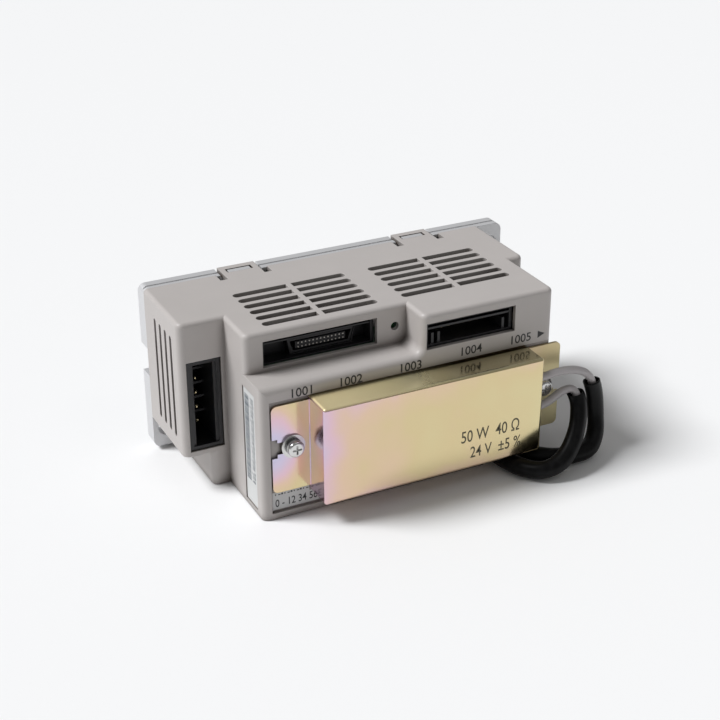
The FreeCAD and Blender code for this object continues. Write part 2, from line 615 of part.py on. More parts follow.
def power_module():
    """The moulded power stage pressed against the back plate, with its legs."""
    x, z = module_corner()
    y0, y1 = POWER_BOARD_BACK + MODULE_GAP, PLATE_FRONT - MODULE_PAD
    body = block(x, x + MODULE_WIDTH, y0, y1, z, z + MODULE_HEIGHT)
    first = x + (MODULE_WIDTH - (MODULE_LEGS - 1) * LEG_PITCH - LEG_WIDTH) / 2
    rows = (z + LEG_INSET, z + MODULE_HEIGHT - LEG_INSET - LEG_THICKNESS)
    legs = [block(leg_x, leg_x + LEG_WIDTH, POWER_BOARD_BACK, y0 + MODULE_GAP, leg_z, leg_z + LEG_THICKNESS)
            for leg_x in [first + number * LEG_PITCH for number in range(MODULE_LEGS)] for leg_z in rows]
    return merged([body] + legs)


def thermal_pad():
    """The soft pad between the power module and the back plate."""
    x, z = module_corner()
    return block(x, x + MODULE_WIDTH, PLATE_FRONT - MODULE_PAD, PLATE_FRONT, z, z + MODULE_HEIGHT)


CAPACITOR_RADIUS = 9.0
CAPACITOR_LENGTH = 30.0
CAPACITOR_GAP = 1.5
CAPACITOR_ROUND = 0.8
CAPACITOR_FIRST = BLOCK_LEFT + WALL + 12.5


def bus_capacitors():
    """Two electrolytic cans that lie from the power board towards the front."""
    cans = []
    for number in range(2):
        x = CAPACITOR_FIRST + number * (2 * CAPACITOR_RADIUS + CAPACITOR_GAP)
        z = (POWER_BOARD_BOTTOM + POWER_BOARD_TOP) / 2 + 1
        can = rod_y(x, POWER_BOARD_FRONT - CAPACITOR_LENGTH, POWER_BOARD_FRONT, z, CAPACITOR_RADIUS)
        ends = [e for e in can.Edges if e.BoundBox.YLength < 1e-4 and e.BoundBox.XLength > 1]
        cans.append(can.makeFillet(CAPACITOR_ROUND, ends))
    return grouped(cans)


CHOKE_RADIUS = 8.0
CHOKE_BORE = 3.2
CHOKE_WIDTH = 7.0
CHOKE_INSET = 14.5           # of its middle, from the power board's right edge


def filter_choke():
    """The wound ring that filters the supply."""
    x = POWER_BOARD_RIGHT - CHOKE_INSET
    z = (POWER_BOARD_BOTTOM + POWER_BOARD_TOP) / 2
    y0 = POWER_BOARD_FRONT - CHOKE_WIDTH
    ring = rod_y(x, y0, POWER_BOARD_FRONT, z, CHOKE_RADIUS)
    return ring.cut(rod_y(x, y0 - 1, POWER_BOARD_FRONT + 1, z, CHOKE_BORE))


TRANSFORMER_WIDTH = 22.0
TRANSFORMER_DEPTH = 18.0
TRANSFORMER_HEIGHT = 17.0
TRANSFORMER_LIFT = 3.0       # above the power board's lower edge
CORE_SIDE = 4.0              # limbs of the ferrite frame
CORE_YOKE = 3.0
CORE_FRONT = 3.0             # the winding stands this far out in front of the frame
CORE_REAR = 2.0
COIL_GAP = 0.2


def transformer_corner():
    """Left, front and bottom of the supply transformer."""
    x = CAPACITOR_FIRST + 3 * CAPACITOR_RADIUS + 3 * CAPACITOR_GAP
    return x, POWER_BOARD_FRONT - TRANSFORMER_DEPTH, POWER_BOARD_BOTTOM + TRANSFORMER_LIFT


def transformer_core():
    """The ferrite frame around the winding."""
    x, y, z = transformer_corner()
    frame = block(x, x + TRANSFORMER_WIDTH, y + CORE_FRONT, y + TRANSFORMER_DEPTH - CORE_REAR,
                  z, z + TRANSFORMER_HEIGHT)
    return frame.cut(block(x + CORE_SIDE, x + TRANSFORMER_WIDTH - CORE_SIDE, y, y + TRANSFORMER_DEPTH + 1,
                           z + CORE_YOKE, z + TRANSFORMER_HEIGHT - CORE_YOKE))


def transformer_coil():
    """The winding inside the ferrite frame."""
    x, y, z = transformer_corner()
    side, yoke = CORE_SIDE + COIL_GAP, CORE_YOKE + COIL_GAP
    return block(x + side, x + TRANSFORMER_WIDTH - side, y, POWER_BOARD_FRONT,
                 z + yoke, z + TRANSFORMER_HEIGHT - yoke)


LINK_WIDTH = 26.0
LINK_DEPTH = 5.0
LINK_SPLIT = 4.2             # below the control board
LINK_OVERLAP = 6.0           # of the lower half, down the power board
LINK_OFFSET = 12.0           # right of the cover's middle


def link_left():
    """Left end of the board-to-board connector."""
    return COVER_LENGTH / 2 - LINK_WIDTH / 2 + LINK_OFFSET


def link_header():
    """The lower half of the board-to-board connector."""
    x = link_left()
    return block(x, x + LINK_WIDTH, POWER_BOARD_FRONT - LINK_DEPTH, POWER_BOARD_FRONT,
                 POWER_BOARD_TOP - LINK_OVERLAP - BOARD_EDGE_GAP, CONTROL_BOTTOM - LINK_SPLIT)


def link_socket():
    """The upper half of the board-to-board connector, under the control board."""
    x = link_left()
    y1 = POWER_BOARD_FRONT - BOARD_EDGE_GAP
    return block(x, x + LINK_WIDTH, POWER_BOARD_FRONT - LINK_DEPTH, y1,
                 CONTROL_BOTTOM - LINK_SPLIT, CONTROL_BOTTOM)


# ---------------------------------------------------------------- control board

def control_board():
    """The level board under the top of the cover, with a tongue into the right block."""
    y_front = SIGNAL_FRONT + TONGUE_GAP
    tongue_left = RECESS_RIGHT + WALL + TONGUE_GAP
    board = prism_z([
        (CONTROL_LEFT, y_front), (tongue_left, y_front), (tongue_left, WIDE_FRONT + TONGUE_GAP),
        (CONTROL_RIGHT, WIDE_FRONT + TONGUE_GAP), (CONTROL_RIGHT, CONTROL_BACK), (CONTROL_LEFT, CONTROL_BACK),
    ], CONTROL_BOTTOM, CONTROL_TOP)
    return board.cut([rod_z(x, y, CONTROL_BOTTOM - 1, CONTROL_TOP + 1, BOSS_SCREW_RADIUS + 0.2)
                      for x, y in boss_places()])


def control_screws():
    """Three screws that hold the control board up to the cover's bosses."""
    screws = []
    for x, y in boss_places():
        head = rod_z(x, y, CONTROL_BOTTOM - BOSS_SCREW_HEAD, CONTROL_BOTTOM, BOSS_SCREW_HEAD_RADIUS)
        shank = rod_z(x, y, CONTROL_BOTTOM - 0.2, CONTROL_BOTTOM + BOSS_SCREW_LENGTH, BOSS_SCREW_RADIUS)
        screws.append(merged([head, shank]))
    return grouped(screws)


CHIP_HEIGHT = 1.4
PROCESSOR_SIDE = 14.0
CHIP_LENGTH = 10.0
CHIP_DEPTH = 6.0
LEFT_CHIPS = (6.0, 20.0)     # from the board's left edge
RIGHT_CHIPS = ((8.0, 26.0, PROCESSOR_SIDE, PROCESSOR_SIDE), (27.0, 30.0, 8.0, CHIP_DEPTH))


def control_chips():
    """The processor and three smaller circuits on the control board."""
    y = (SIGNAL_FRONT + SIGNAL_BODY_DEPTH + CONTROL_BACK) / 2 - CHIP_DEPTH / 2 + 0.5
    chips = [(CONTROL_LEFT + left, y, CHIP_LENGTH, CHIP_DEPTH) for left in LEFT_CHIPS]
    chips += [(RECESS_RIGHT + left, front, width, depth) for left, front, width, depth in RIGHT_CHIPS]
    return grouped([block(x, x + w, y0, y0 + d, CONTROL_TOP, CONTROL_TOP + CHIP_HEIGHT)
                    for x, y0, w, d in chips])


def status_light():
    """The indicator lamp behind its hole, on a right-angle holder."""
    x, z = RECESS_RIGHT - LIGHT_FROM_RECESS_END, COVER_HEIGHT - LIGHT_DROP
    front = RECESS_SETBACK + WALL + LENS_SETBACK
    half = LIGHT_HOLDER / 2
    holder_front = front + LENS_LENGTH - 0.3
    holder = block(x - half, x + half, holder_front, holder_front + LIGHT_HOLDER_DEPTH, CONTROL_TOP, z + half)
    lens = rod_y(x, front, front + LENS_LENGTH, z, LENS_RADIUS)
    tip = [e for e in lens.Edges if abs(e.BoundBox.YMax - front) < 1e-4]
    return merged([holder, lens.makeFillet(LENS_RADIUS * 0.54, tip)])


# ---------------------------------------------------------------- connectors

def power_pin_heights():
    """Heights of the power connector's pins."""
    middle = POWER_BODY_BOTTOM + POWER_BODY_HEIGHT / 2
    return [middle + (n - (POWER_WAYS - 1) / 2) * POWER_PITCH for n in range(POWER_WAYS)]


def power_connector_body():
    """The deep upright housing of the power and motor connector."""
    x0, x1 = POWER_BODY_LEFT, POWER_BODY_RIGHT
    z0, z1 = POWER_BODY_BOTTOM, POWER_BODY_BOTTOM + POWER_BODY_HEIGHT
    y0, y1 = LEFT_BAY_SETBACK + POWER_RIB_SETBACK, POWER_BOARD_FRONT
    w, into = POWER_WALL, 0.1
    floor = y1 - POWER_FLOOR
    body = block(x0, x1, y0, y1, z0, z1).cut(block(x0 + w, x1 - w, y0 - 1, floor, z0 + w, z1 - w))
    rib_front, rib_back = y0 + POWER_RIB_SETBACK, floor + into
    rib_low, rib_high = z0 + w - into, z1 - w + into
    ribs = [block(x0 + w - into, x0 + w + POWER_RIB, rib_front, rib_back, rib_low, rib_high),
            block(x1 - w - POWER_RIB, x1 - w + into, rib_front, rib_back, rib_low, rib_high)]
    heights = power_pin_heights()
    half = POWER_DIVIDER_THICKNESS / 2
    for low, high in zip(heights, heights[1:]):
        z = (low + high) / 2
        ribs.append(block(x0 + w - into, x1 - w + into, floor - POWER_DIVIDER_LENGTH, rib_back,
                          z - half, z + half))
    body = merged([body] + ribs)
    middle, reach = power_pin_middle(), POWER_PIN_HALF + POWER_PIN_CLEARANCE
    return body.cut([block(middle - reach, middle + reach, floor - 1, y1 + 1, z - reach, z + reach)
                     for z in heights])


def power_pin_middle():
    """Where across the body the power pins stand."""
    return (POWER_BODY_LEFT + POWER_BODY_RIGHT) / 2 + POWER_PIN_OFFSET


def power_connector_pins():
    """Five square pins of the power and motor connector."""
    middle, half = power_pin_middle(), POWER_PIN_HALF
    pins = []
    for z in power_pin_heights():
        front = POWER_BOARD_FRONT - POWER_PIN_LENGTH
        pin = block(middle - half, middle + half, front, POWER_BOARD_FRONT, z - half, z + half)
        tip = [e for e in pin.Edges if e.BoundBox.YMax < front + 1e-4]
        pins.append(pin.makeChamfer(POWER_PIN_CHAMFER, tip))
    return grouped(pins)


def signal_rows():
    """Places (x, z) of the signal connector's contacts."""
    middle = SIGNAL_LEFT + SIGNAL_BODY_WIDTH / 2 + SIGNAL_CONTACT_OFFSET
    z_mid = CONTROL_TOP + SIGNAL_ROW_HEIGHT
    return [(middle + (n - (SIGNAL_COLUMNS - 1) / 2) * SIGNAL_PITCH, z_mid + side * SIGNAL_ROW_HALF)
            for n in range(SIGNAL_COLUMNS) for side in (-1, 1)]


def signal_slot(grow, y0, y1):
    """The D-shaped mating slot, grown by a margin, as a solid between two depths."""
    xs = [x for x, _ in signal_rows()]
    z_mid = CONTROL_TOP + SIGNAL_ROW_HEIGHT
    half_low = (max(xs) - min(xs)) / 2 + SIGNAL_SLOT_MARGIN + grow
    half_high = half_low + SIGNAL_SLOT_FLARE
    middle = (max(xs) + min(xs)) / 2
    z0, z1 = z_mid - SIGNAL_SLOT_HALF_HEIGHT - grow, z_mid + SIGNAL_SLOT_HALF_HEIGHT + grow
    return prism_y([(middle - half_low, z0), (middle + half_low, z0),
                    (middle + half_high, z1), (middle - half_high, z1)], y0, y1)


def prism_y(points, y0, y1):
    """An upright outline, given as (x, z) points, carried from y0 to y1."""
    ring = [Vector(x, y0, z) for x, z in points]
    return Part.Face(Part.makePolygon(ring + ring[:1])).extrude(Vector(0, y1 - y0, 0))


def signal_connector_shell():
    """The thin metal shell around the signal connector's mating slot."""
    y0 = SIGNAL_FRONT + SIGNAL_SHELL_SETBACK
    y1 = y0 + SIGNAL_SHELL_DEPTH
    return signal_slot(SIGNAL_SHELL_OUTER, y0, y1).cut(signal_slot(SIGNAL_SHELL_INNER, y0 - 1, y1 + 1))


def signal_connector_body():
    """The insulating body of the signal connector, as wide as its window."""
    x0, x1 = SIGNAL_LEFT, SIGNAL_LEFT + SIGNAL_BODY_WIDTH
    y0, w, into = SIGNAL_FRONT, SIGNAL_WALL, 0.1
    mouth_end = y0 + SIGNAL_MOUTH_DEPTH
    body = block(x0, x1, y0 + SIGNAL_SETBACK, y0 + SIGNAL_BODY_DEPTH, CONTROL_TOP, CONNECTOR_TOP)
    body = body.cut(block(x0 + w, x1 - w, y0 - 1, mouth_end,
                          CONTROL_TOP + SIGNAL_MOUTH_FLOOR, CONNECTOR_TOP - w))
    front = y0 + SIGNAL_SHELL_SETBACK
    lining = signal_slot(SIGNAL_LINING_OUTER, front + 0.4, mouth_end + into)
    lining = lining.cut(signal_slot(SIGNAL_LINING_INNER, front, mouth_end))
    xs = [x for x, _ in signal_rows()]
    z_mid = CONTROL_TOP + SIGNAL_ROW_HEIGHT
    tongue = block(min(xs) - SIGNAL_TONGUE_MARGIN, max(xs) + SIGNAL_TONGUE_MARGIN,
                   front + 0.6, mouth_end + into, z_mid - SIGNAL_TONGUE_HALF, z_mid + SIGNAL_TONGUE_HALF)
    low, high = SIGNAL_LEDGE
    ledge = block(x0 + w - into, x1 - w + into, y0 + 2 * SIGNAL_SETBACK, mouth_end + into,
                  CONTROL_TOP + low, CONTROL_TOP + high)
    body = merged([body, tongue, lining, ledge])
    reach = SIGNAL_CONTACT_HALF + SIGNAL_CONTACT_CLEARANCE
    hole_end = y0 + SIGNAL_CONTACT_END + into
    return body.cut([block(x - reach, x + reach, y0 - 1, hole_end, z - reach, z + reach)
                     for x, z in signal_rows()])


def signal_connector_contacts():
    """Two rows of thirteen contacts."""
    y0, y1 = SIGNAL_FRONT + SIGNAL_SHELL_SETBACK + 0.3, SIGNAL_FRONT + SIGNAL_CONTACT_END
    half = SIGNAL_CONTACT_HALF
    return grouped([block(x - half, x + half, y0, y1, z - half, z + half) for x, z in signal_rows()])


def wide_pin_places():
    """Places (x, z) of the wide connector's pins."""
    middle = WIDE_LEFT + WIDE_BODY_WIDTH / 2
    z_mid = CONTROL_TOP + CONNECTOR_HEIGHT / 2
    return [(middle + (n - (WIDE_COLUMNS - 1) / 2) * WIDE_PITCH, z_mid + side * WIDE_PITCH / 2)
            for n in range(WIDE_COLUMNS) for side in (-1, 1)]


def wide_connector_body():
    """The keyed box header in the right block."""
    x0, x1 = WIDE_LEFT, WIDE_LEFT + WIDE_BODY_WIDTH
    y0, y1 = WIDE_FRONT, WIDE_FRONT + WIDE_BODY_DEPTH
    z0, z1 = CONTROL_TOP, CONNECTOR_TOP
    w, into, floor = WIDE_WALL, 0.1, y1 - WIDE_FLOOR
    body = block(x0, x1, y0, y1, z0, z1)
    body = body.cut(block(x0 + w, x1 - w, y0 - 1, floor, z0 + w, z1 - w))
    deep, shallow = WIDE_LIP
    lip = block(x0 + w - into, x1 - w + into, y0 + 0.2, floor + into, z1 - deep, z1 - shallow)
    keys = [block(x0 + left, x0 + left + WIDE_KEY_WIDTH, y0 + 0.4, floor + into, z0 + w - into,
                  z0 + w + WIDE_KEY_HEIGHT) for left in WIDE_KEYS]
    body = merged([body, lip] + keys)
    half = BOX_PIN_HOLE_HALF
    return body.cut([block(x - half, x + half, floor - 1, y1 + 1, z - half, z + half)
                     for x, z in wide_pin_places()])


def wide_connector_pins():
    """Twenty square pins of the keyed box header."""
    y1, half = WIDE_FRONT + WIDE_BODY_DEPTH, BOX_PIN_HALF
    return grouped([block(x - half, x + half, y1 - WIDE_PIN_LENGTH, y1, z - half, z + half)
                    for x, z in wide_pin_places()])


def side_pin_places():
    """Places (y, z) of the side connector's pins."""
    middle = SIDE_BODY_SETBACK + SIDE_BODY_WIDTH / 2
    z = CONTROL_TOP + CONNECTOR_HEIGHT / 2
    return [(middle + (n - (SIDE_WAYS - 1) / 2) * SIDE_PITCH, z) for n in range(SIDE_WAYS)]


def side_connector_body():
    """The connector in the right end of the cover."""
    x0, x1 = SIDE_RIGHT - SIDE_BODY_DEPTH, SIDE_RIGHT
    y0, y1 = SIDE_BODY_SETBACK, SIDE_BODY_SETBACK + SIDE_BODY_WIDTH
    z0, z1 = CONTROL_TOP, CONNECTOR_TOP
    w, floor, half = SIDE_WALL, x0 + SIDE_FLOOR, BOX_PIN_HOLE_HALF
    body = block(x0, x1, y0, y1, z0, z1).cut(block(floor, x1 + 1, y0 + w, y1 - w, z0 + w, z1 - w))
    return body.cut([block(x0 - 1, floor + 0.5, y - half, y + half, z - half, z + half)
                     for y, z in side_pin_places()])


def side_connector_pins():
    """Five pins of the side connector."""
    x0, half = SIDE_RIGHT - SIDE_BODY_DEPTH, BOX_PIN_HALF
    return grouped([block(x0, x0 + SIDE_PIN_LENGTH, y - half, y + half, z - half, z + half)
                    for y, z in side_pin_places()])


# ---------------------------------------------------------------- braking resistor

def flange_outline(left):
    """One flange in the XZ plane, with its open-ended slot."""
    z0, z1 = CASE_BOTTOM + FLANGE_INSET_BOTTOM, CASE_TOP - FLANGE_INSET_TOP
    if left:
        x0, x1, edge = FLANGE_LEFT, CASE_LEFT + FLANGE_OVERLAP, FLANGE_LEFT
        centre, mouth = SCREW_PLACES[0], FLANGE_LEFT + SLOT_MOUTH_DEPTH
    else:
        x0, x1, edge = CASE_RIGHT - FLANGE_OVERLAP, FLANGE_RIGHT, FLANGE_RIGHT
        centre, mouth = SCREW_PLACES[1], FLANGE_RIGHT - SLOT_MOUTH_DEPTH
    y0, y1 = FLANGE_FRONT, SEAT_FACE
    plate = block(x0, x1, y0, y1, z0, z1)
    corners = [e for e in plate.Edges if e.BoundBox.YLength > 0.1 and e.BoundBox.XLength < 1e-4
               and e.BoundBox.ZLength < 1e-4 and abs(e.BoundBox.XMin - edge) < 1e-4]
    plate = plate.makeFillet(FLANGE_CORNER, corners)
    half, wide = SLOT_WIDTH / 2, SLOT_MOUTH_WIDTH / 2
    sx0, sx1 = sorted((edge, centre))
    mx0, mx1 = sorted((edge, mouth))
    slot = merged([
        block(sx0 - (1 if left else 0), sx1 + (0 if left else 1), y0 - 1, y1 + 1,
              SCREW_HEIGHT - half, SCREW_HEIGHT + half),
        rod_y(centre, y0 - 1, y1 + 1, SCREW_HEIGHT, half),
        block(mx0 - (1 if left else 0), mx1 + (0 if left else 1), y0 - 1, y1 + 1,
              SCREW_HEIGHT - wide, SCREW_HEIGHT + wide),
    ])
    return plate.cut(slot)


def resistor_case():
    """The folded sheet case with a slotted flange at each end."""
    outer = block(CASE_LEFT, CASE_RIGHT, -CASE_FRONT, SEAT_FACE, CASE_BOTTOM, CASE_TOP)
    edges = [e for e in outer.Edges if e.BoundBox.YMin < -CASE_FRONT + 1e-3]
    outer = outer.makeFillet(SHEET_RADIUS, edges)
    inner = block(CASE_LEFT + SHEET, CASE_RIGHT - SHEET, -CASE_FRONT + SHEET, SEAT_FACE + 1,
                  CASE_BOTTOM + SHEET, CASE_TOP - SHEET)
    case = merged([outer, flange_outline(True), flange_outline(False)]).cut(inner)
    return case.cut([rod_x(CASE_RIGHT - 3, CASE_RIGHT + 1, LEAD_PLANE, z, LEAD_HOLE_RADIUS)
                     for z in (UPPER_LEAD_HEIGHT, LOWER_LEAD_HEIGHT)])


CORE_GAP = 0.2


def resistor_core():
    """The ceramic block with the resistance wire, inside the case."""
    g = SHEET + CORE_GAP
    return block(CASE_LEFT + g, CASE_RIGHT - g, -CASE_FRONT + g, SEAT_FACE - 0.1, CASE_BOTTOM + g, CASE_TOP - g)


def flat_washers():
    """The plain washers on the two flanges."""
    y0 = FLANGE_FRONT - WASHER_THICKNESS
    return grouped([rod_y(x, y0, FLANGE_FRONT, SCREW_HEIGHT, WASHER_RADIUS).cut(
        rod_y(x, y0 - 1, FLANGE_FRONT + 1, SCREW_HEIGHT, SCREW_M3_RADIUS + 0.15)) for x in SCREW_PLACES])


def spring_washers():
    """The split washers under the two screw heads."""
    y1 = FLANGE_FRONT - WASHER_THICKNESS
    y0 = y1 - SPRING_THICKNESS
    rings = []
    for x in SCREW_PLACES:
        ring = rod_y(x, y0, y1, SCREW_HEIGHT, SPRING_RADIUS)
        split = block(x + 0.5, x + SPRING_RADIUS + 1, y0 - 1, y1 + 1,
                      SCREW_HEIGHT - SPRING_GAP / 2, SCREW_HEIGHT + SPRING_GAP / 2)
        rings.append(ring.cut([rod_y(x, y0 - 1, y1 + 1, SCREW_HEIGHT, SCREW_M3_RADIUS + 0.1), split]))
    return grouped(rings)


def resistor_screws():
    """The two pan-head screws that hold the resistor."""
    seat = FLANGE_FRONT - WASHER_THICKNESS - SPRING_THICKNESS
    return grouped([pan_screw_y(x, seat, SCREW_HEIGHT, RESISTOR_SCREW_LENGTH, SCREW_M3_RADIUS,
                                SCREW_M3_HEAD_RADIUS, SCREW_M3_HEAD) for x in SCREW_PLACES])


def threaded_inserts():
    """The brass inserts that the resistor screws bite in."""
    y0, y1 = SEAT_FACE, SEAT_FACE + WALL + INSERT_LENGTH
    return grouped([rod_y(x, y0, y1, SCREW_HEIGHT, INSERT_RADIUS).cut(
        rod_y(x, y0 - 1, y1 + 1, SCREW_HEIGHT, SCREW_M3_RADIUS + 0.05)) for x in SCREW_PLACES])


# ---------------------------------------------------------------- leads and sleeves

PLUG_HOLE_HEIGHT = PLUG_BOTTOM + PLUG_HEIGHT / 2
CORE_END = CASE_RIGHT - SHEET - CORE_GAP
PLUG_BACK = PLUG_FRONT + PLUG_LENGTH

# Each route runs from the ceramic block, out through the end of the case, over into
# its sleeve, round under the case and back to the plug. The points were set by hand.
UPPER_ROUTE = [
    (CORE_END, LEAD_PLANE, UPPER_LEAD_HEIGHT), (110.8, LEAD_PLANE, UPPER_LEAD_HEIGHT), (115.8, -5.2, 31.2),
    (122.8, -5.2, 30.8), (129.0, -5.0, 27.8), (131.8, -4.8, 21.2), (132.6, -5.2, 13.8), (131.4, -8.0, 7.0),
    (126.8, -11.6, 3.2), (119.8, -12.4, 3.1), (112.8, -10.6, 3.1), (107.4, -6.0, 3.1), (104.8, 0.4, 3.1),
    (PLUG_POLES[1], 6.8, PLUG_HOLE_HEIGHT), (PLUG_POLES[1], PLUG_FRONT, PLUG_HOLE_HEIGHT),
]
LOWER_ROUTE = [
    (CORE_END, LEAD_PLANE, LOWER_LEAD_HEIGHT), (110.4, LEAD_PLANE, LOWER_LEAD_HEIGHT), (114.8, -5.2, 21.4),
    (118.4, -5.2, 23.8), (123.0, -5.6, 24.2), (124.0, -7.8, 19.4), (121.4, -11.8, 14.6), (116.9, -15.8, 9.6),
    (111.2, -18.0, 5.2), (105.0, -17.2, 3.4), (100.8, -12.4, 3.1), (98.6, -6.2, 3.1), (97.4, 0.0, 3.2),
    (PLUG_POLES[0], 6.2, PLUG_HOLE_HEIGHT), (PLUG_POLES[0], PLUG_FRONT, PLUG_HOLE_HEIGHT),
]
ARC_SHARE = 0.45             # of the shorter run, taken by an arc at each corner
SLEEVE_START = 4             # a sleeve begins on the run after this point
SLEEVE_END = 12              # and ends on the run after this one


def route_edges(points):
    """Straight runs joined by tangent arcs, and the arcs' radii."""
    nodes = [Vector(*p) for p in points]
    edges, radii, start = [], [], nodes[0]
    for before, corner, after in zip(nodes, nodes[1:], nodes[2:]):
        into = (corner - before).normalize()
        out = (after - corner).normalize()
        turn = into.getAngle(out)
        reach = ARC_SHARE * min((corner - before).Length, (after - corner).Length)
        radii.append(reach / math.tan(turn / 2))
        first, last = corner - into * reach, corner + out * reach
        middle_way = (out - into).normalize()
        middle = corner + middle_way * (math.hypot(radii[-1], reach) - radii[-1])
        edges.append(Part.makeLine(start, first))
        edges.append(Part.Arc(first, middle, last).toShape())
        start = last
    edges.append(Part.makeLine(start, nodes[-1]))
    return edges, radii


def tube(edges, radius):
    """A round tube along a chain of edges."""
    start = edges[0].Vertexes[0].Point
    direction = edges[0].tangentAt(edges[0].FirstParameter)
    section = Part.Wire(Part.makeCircle(radius, start, direction))
    swept = Part.Wire(edges).makePipeShell([section], True, False)
    length = sum(e.Length for e in edges)
    print("tube: length %.1f, volume %.1f, section times length %.1f"
          % (length, swept.Volume, math.pi * radius * radius * length))
    return swept


def lead(name, points):
    """One insulated lead."""
    edges, radii = route_edges(points)
    print(name, "length %.1f, radii" % sum(e.Length for e in edges), " ".join("%.1f" % r for r in radii))
    return tube(edges, LEAD_RADIUS)


def sleeve(points):
    """The open black sleeve over part of a lead."""
    edges, _ = route_edges(points)
    stretch = edges[2 * SLEEVE_START:2 * SLEEVE_END + 1]
    return tube(stretch, SLEEVE_RADIUS).cut(tube(stretch, SLEEVE_BORE))


def lead_plug():
    """The two-pole plug in the notch, where the leads end."""
    body = block(PLUG_POLES[0] - PLUG_MARGIN, PLUG_POLES[-1] + PLUG_MARGIN, PLUG_FRONT, PLUG_BACK,
                 PLUG_BOTTOM, PLUG_BOTTOM + PLUG_HEIGHT)
    along = [e for e in body.Edges if e.BoundBox.YLength > 1]
    return body.makeFillet(PLUG_ROUND, along)


def plug_header():
    """The board-side half that the plug seats on, fixed through the notch's wall."""
    side = PLUG_MARGIN + HEADER_RIM
    body = block(PLUG_POLES[0] - side, PLUG_POLES[-1] + side, PLUG_BACK, NOTCH_DEPTH,
                 0, PLUG_BOTTOM + PLUG_HEIGHT + HEADER_RIM)
    stems = [rod_y(x, NOTCH_DEPTH - 0.2, NOTCH_DEPTH + WALL + STEM_LENGTH, PLUG_HOLE_HEIGHT, STEM_RADIUS)
             for x in PLUG_POLES]
    return merged([body] + stems)


# ---------------------------------------------------------------- labels

def rating_label():
    """The plain paper label on the seat, below the left flange."""
    x0, z0 = SEAT_LEFT + RATING_LABEL_GAP, SEAT_BOTTOM + RATING_LABEL_GAP
    y0, y1 = SEAT_FACE - LABEL_THICKNESS, SEAT_FACE
    beside = block(x0, CASE_LEFT - CORE_GAP, y0, y1, z0, CASE_BOTTOM + FLANGE_INSET_BOTTOM - CORE_GAP)
    below = block(x0, x0 + RATING_LABEL_LENGTH, y0, y1, z0, CASE_BOTTOM - CORE_GAP)
    return merged([beside, below])


def code_label():
    """The narrow bar label on the block's left face."""
    x1 = BLOCK_LEFT + CODE_SEAT_DEPTH
    return block(x1 - LABEL_THICKNESS, x1, CODE_LABEL_SETBACK, CODE_LABEL_SETBACK + CODE_LABEL_DEPTH,
                 CODE_LABEL_BOTTOM, CODE_LABEL_BOTTOM + CODE_LABEL_HEIGHT)


# ---------------------------------------------------------------- all the pieces

def pieces():
    """Every node's name and its shape, in the layout frame."""
    return {
        "back_plate": back_plate(),
        "cover": cover(),
        "board_standoffs": standoffs(),
        "power_board": power_board(),
        "board_screws": board_screws(),
        "power_module": power_module(),
        "thermal_pad": thermal_pad(),
        "bus_capacitors": bus_capacitors(),
        "filter_choke": filter_choke(),
        "transformer_core": transformer_core(),
        "transformer_coil": transformer_coil(),
        "link_header": link_header(),
        "link_socket": link_socket(),
        "control_board": control_board(),
        "control_screws": control_screws(),
        "control_chips": control_chips(),
        "status_light": status_light(),
        "power_connector_body": power_connector_body(),
        "power_connector_pins": power_connector_pins(),
        "signal_connector_body": signal_connector_body(),
        "signal_connector_shell": signal_connector_shell(),
        "signal_connector_contacts": signal_connector_contacts(),
        "wide_connector_body": wide_connector_body(),
        "wide_connector_pins": wide_connector_pins(),
        "side_connector_body": side_connector_body(),
        "side_connector_pins": side_connector_pins(),
        "resistor_case": resistor_case(),
        "resistor_core": resistor_core(),
        "flat_washers": flat_washers(),
        "spring_washers": spring_washers(),
        "resistor_screws": resistor_screws(),
        "threaded_inserts": threaded_inserts(),
        "upper_lead": lead("upper lead", UPPER_ROUTE),
        "lower_lead": lead("lower lead", LOWER_ROUTE),
        "upper_sleeve": sleeve(UPPER_ROUTE),
        "lower_sleeve": sleeve(LOWER_ROUTE),
        "lead_plug": lead_plug(),
        "plug_header": plug_header(),
        "rating_label": rating_label(),
        "code_label": code_label(),
    }


def main():
    """Write one STEP file for each node, in the row's frame."""
    os.makedirs("parts", exist_ok=True)
    for name, shape in pieces().items():
        placed = shape.translated(ORIGIN.negative())
        if not placed.isValid():
            raise ValueError("invalid shape: " + name)
        placed.exportStep("parts/" + name + ".step")
        box = placed.optimalBoundingBox(False)
        print("%-26s solids %2d  volume %9.1f  x %7.2f %7.2f  y %7.2f %7.2f  z %7.2f %7.2f" % (
            name, len(placed.Solids), placed.Volume,
            box.XMin, box.XMax, box.YMin, box.YMax, box.ZMin, box.ZMax))


main()
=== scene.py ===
"""Stepper driver module: finishes, printed marks, leads, sleeves and studio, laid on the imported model."""

import logging
import math
from dataclasses import dataclass, field
from enum import Enum
from typing import Any, Iterable, Sequence, Union

import bmesh
import bpy
from mathutils import Matrix, Vector


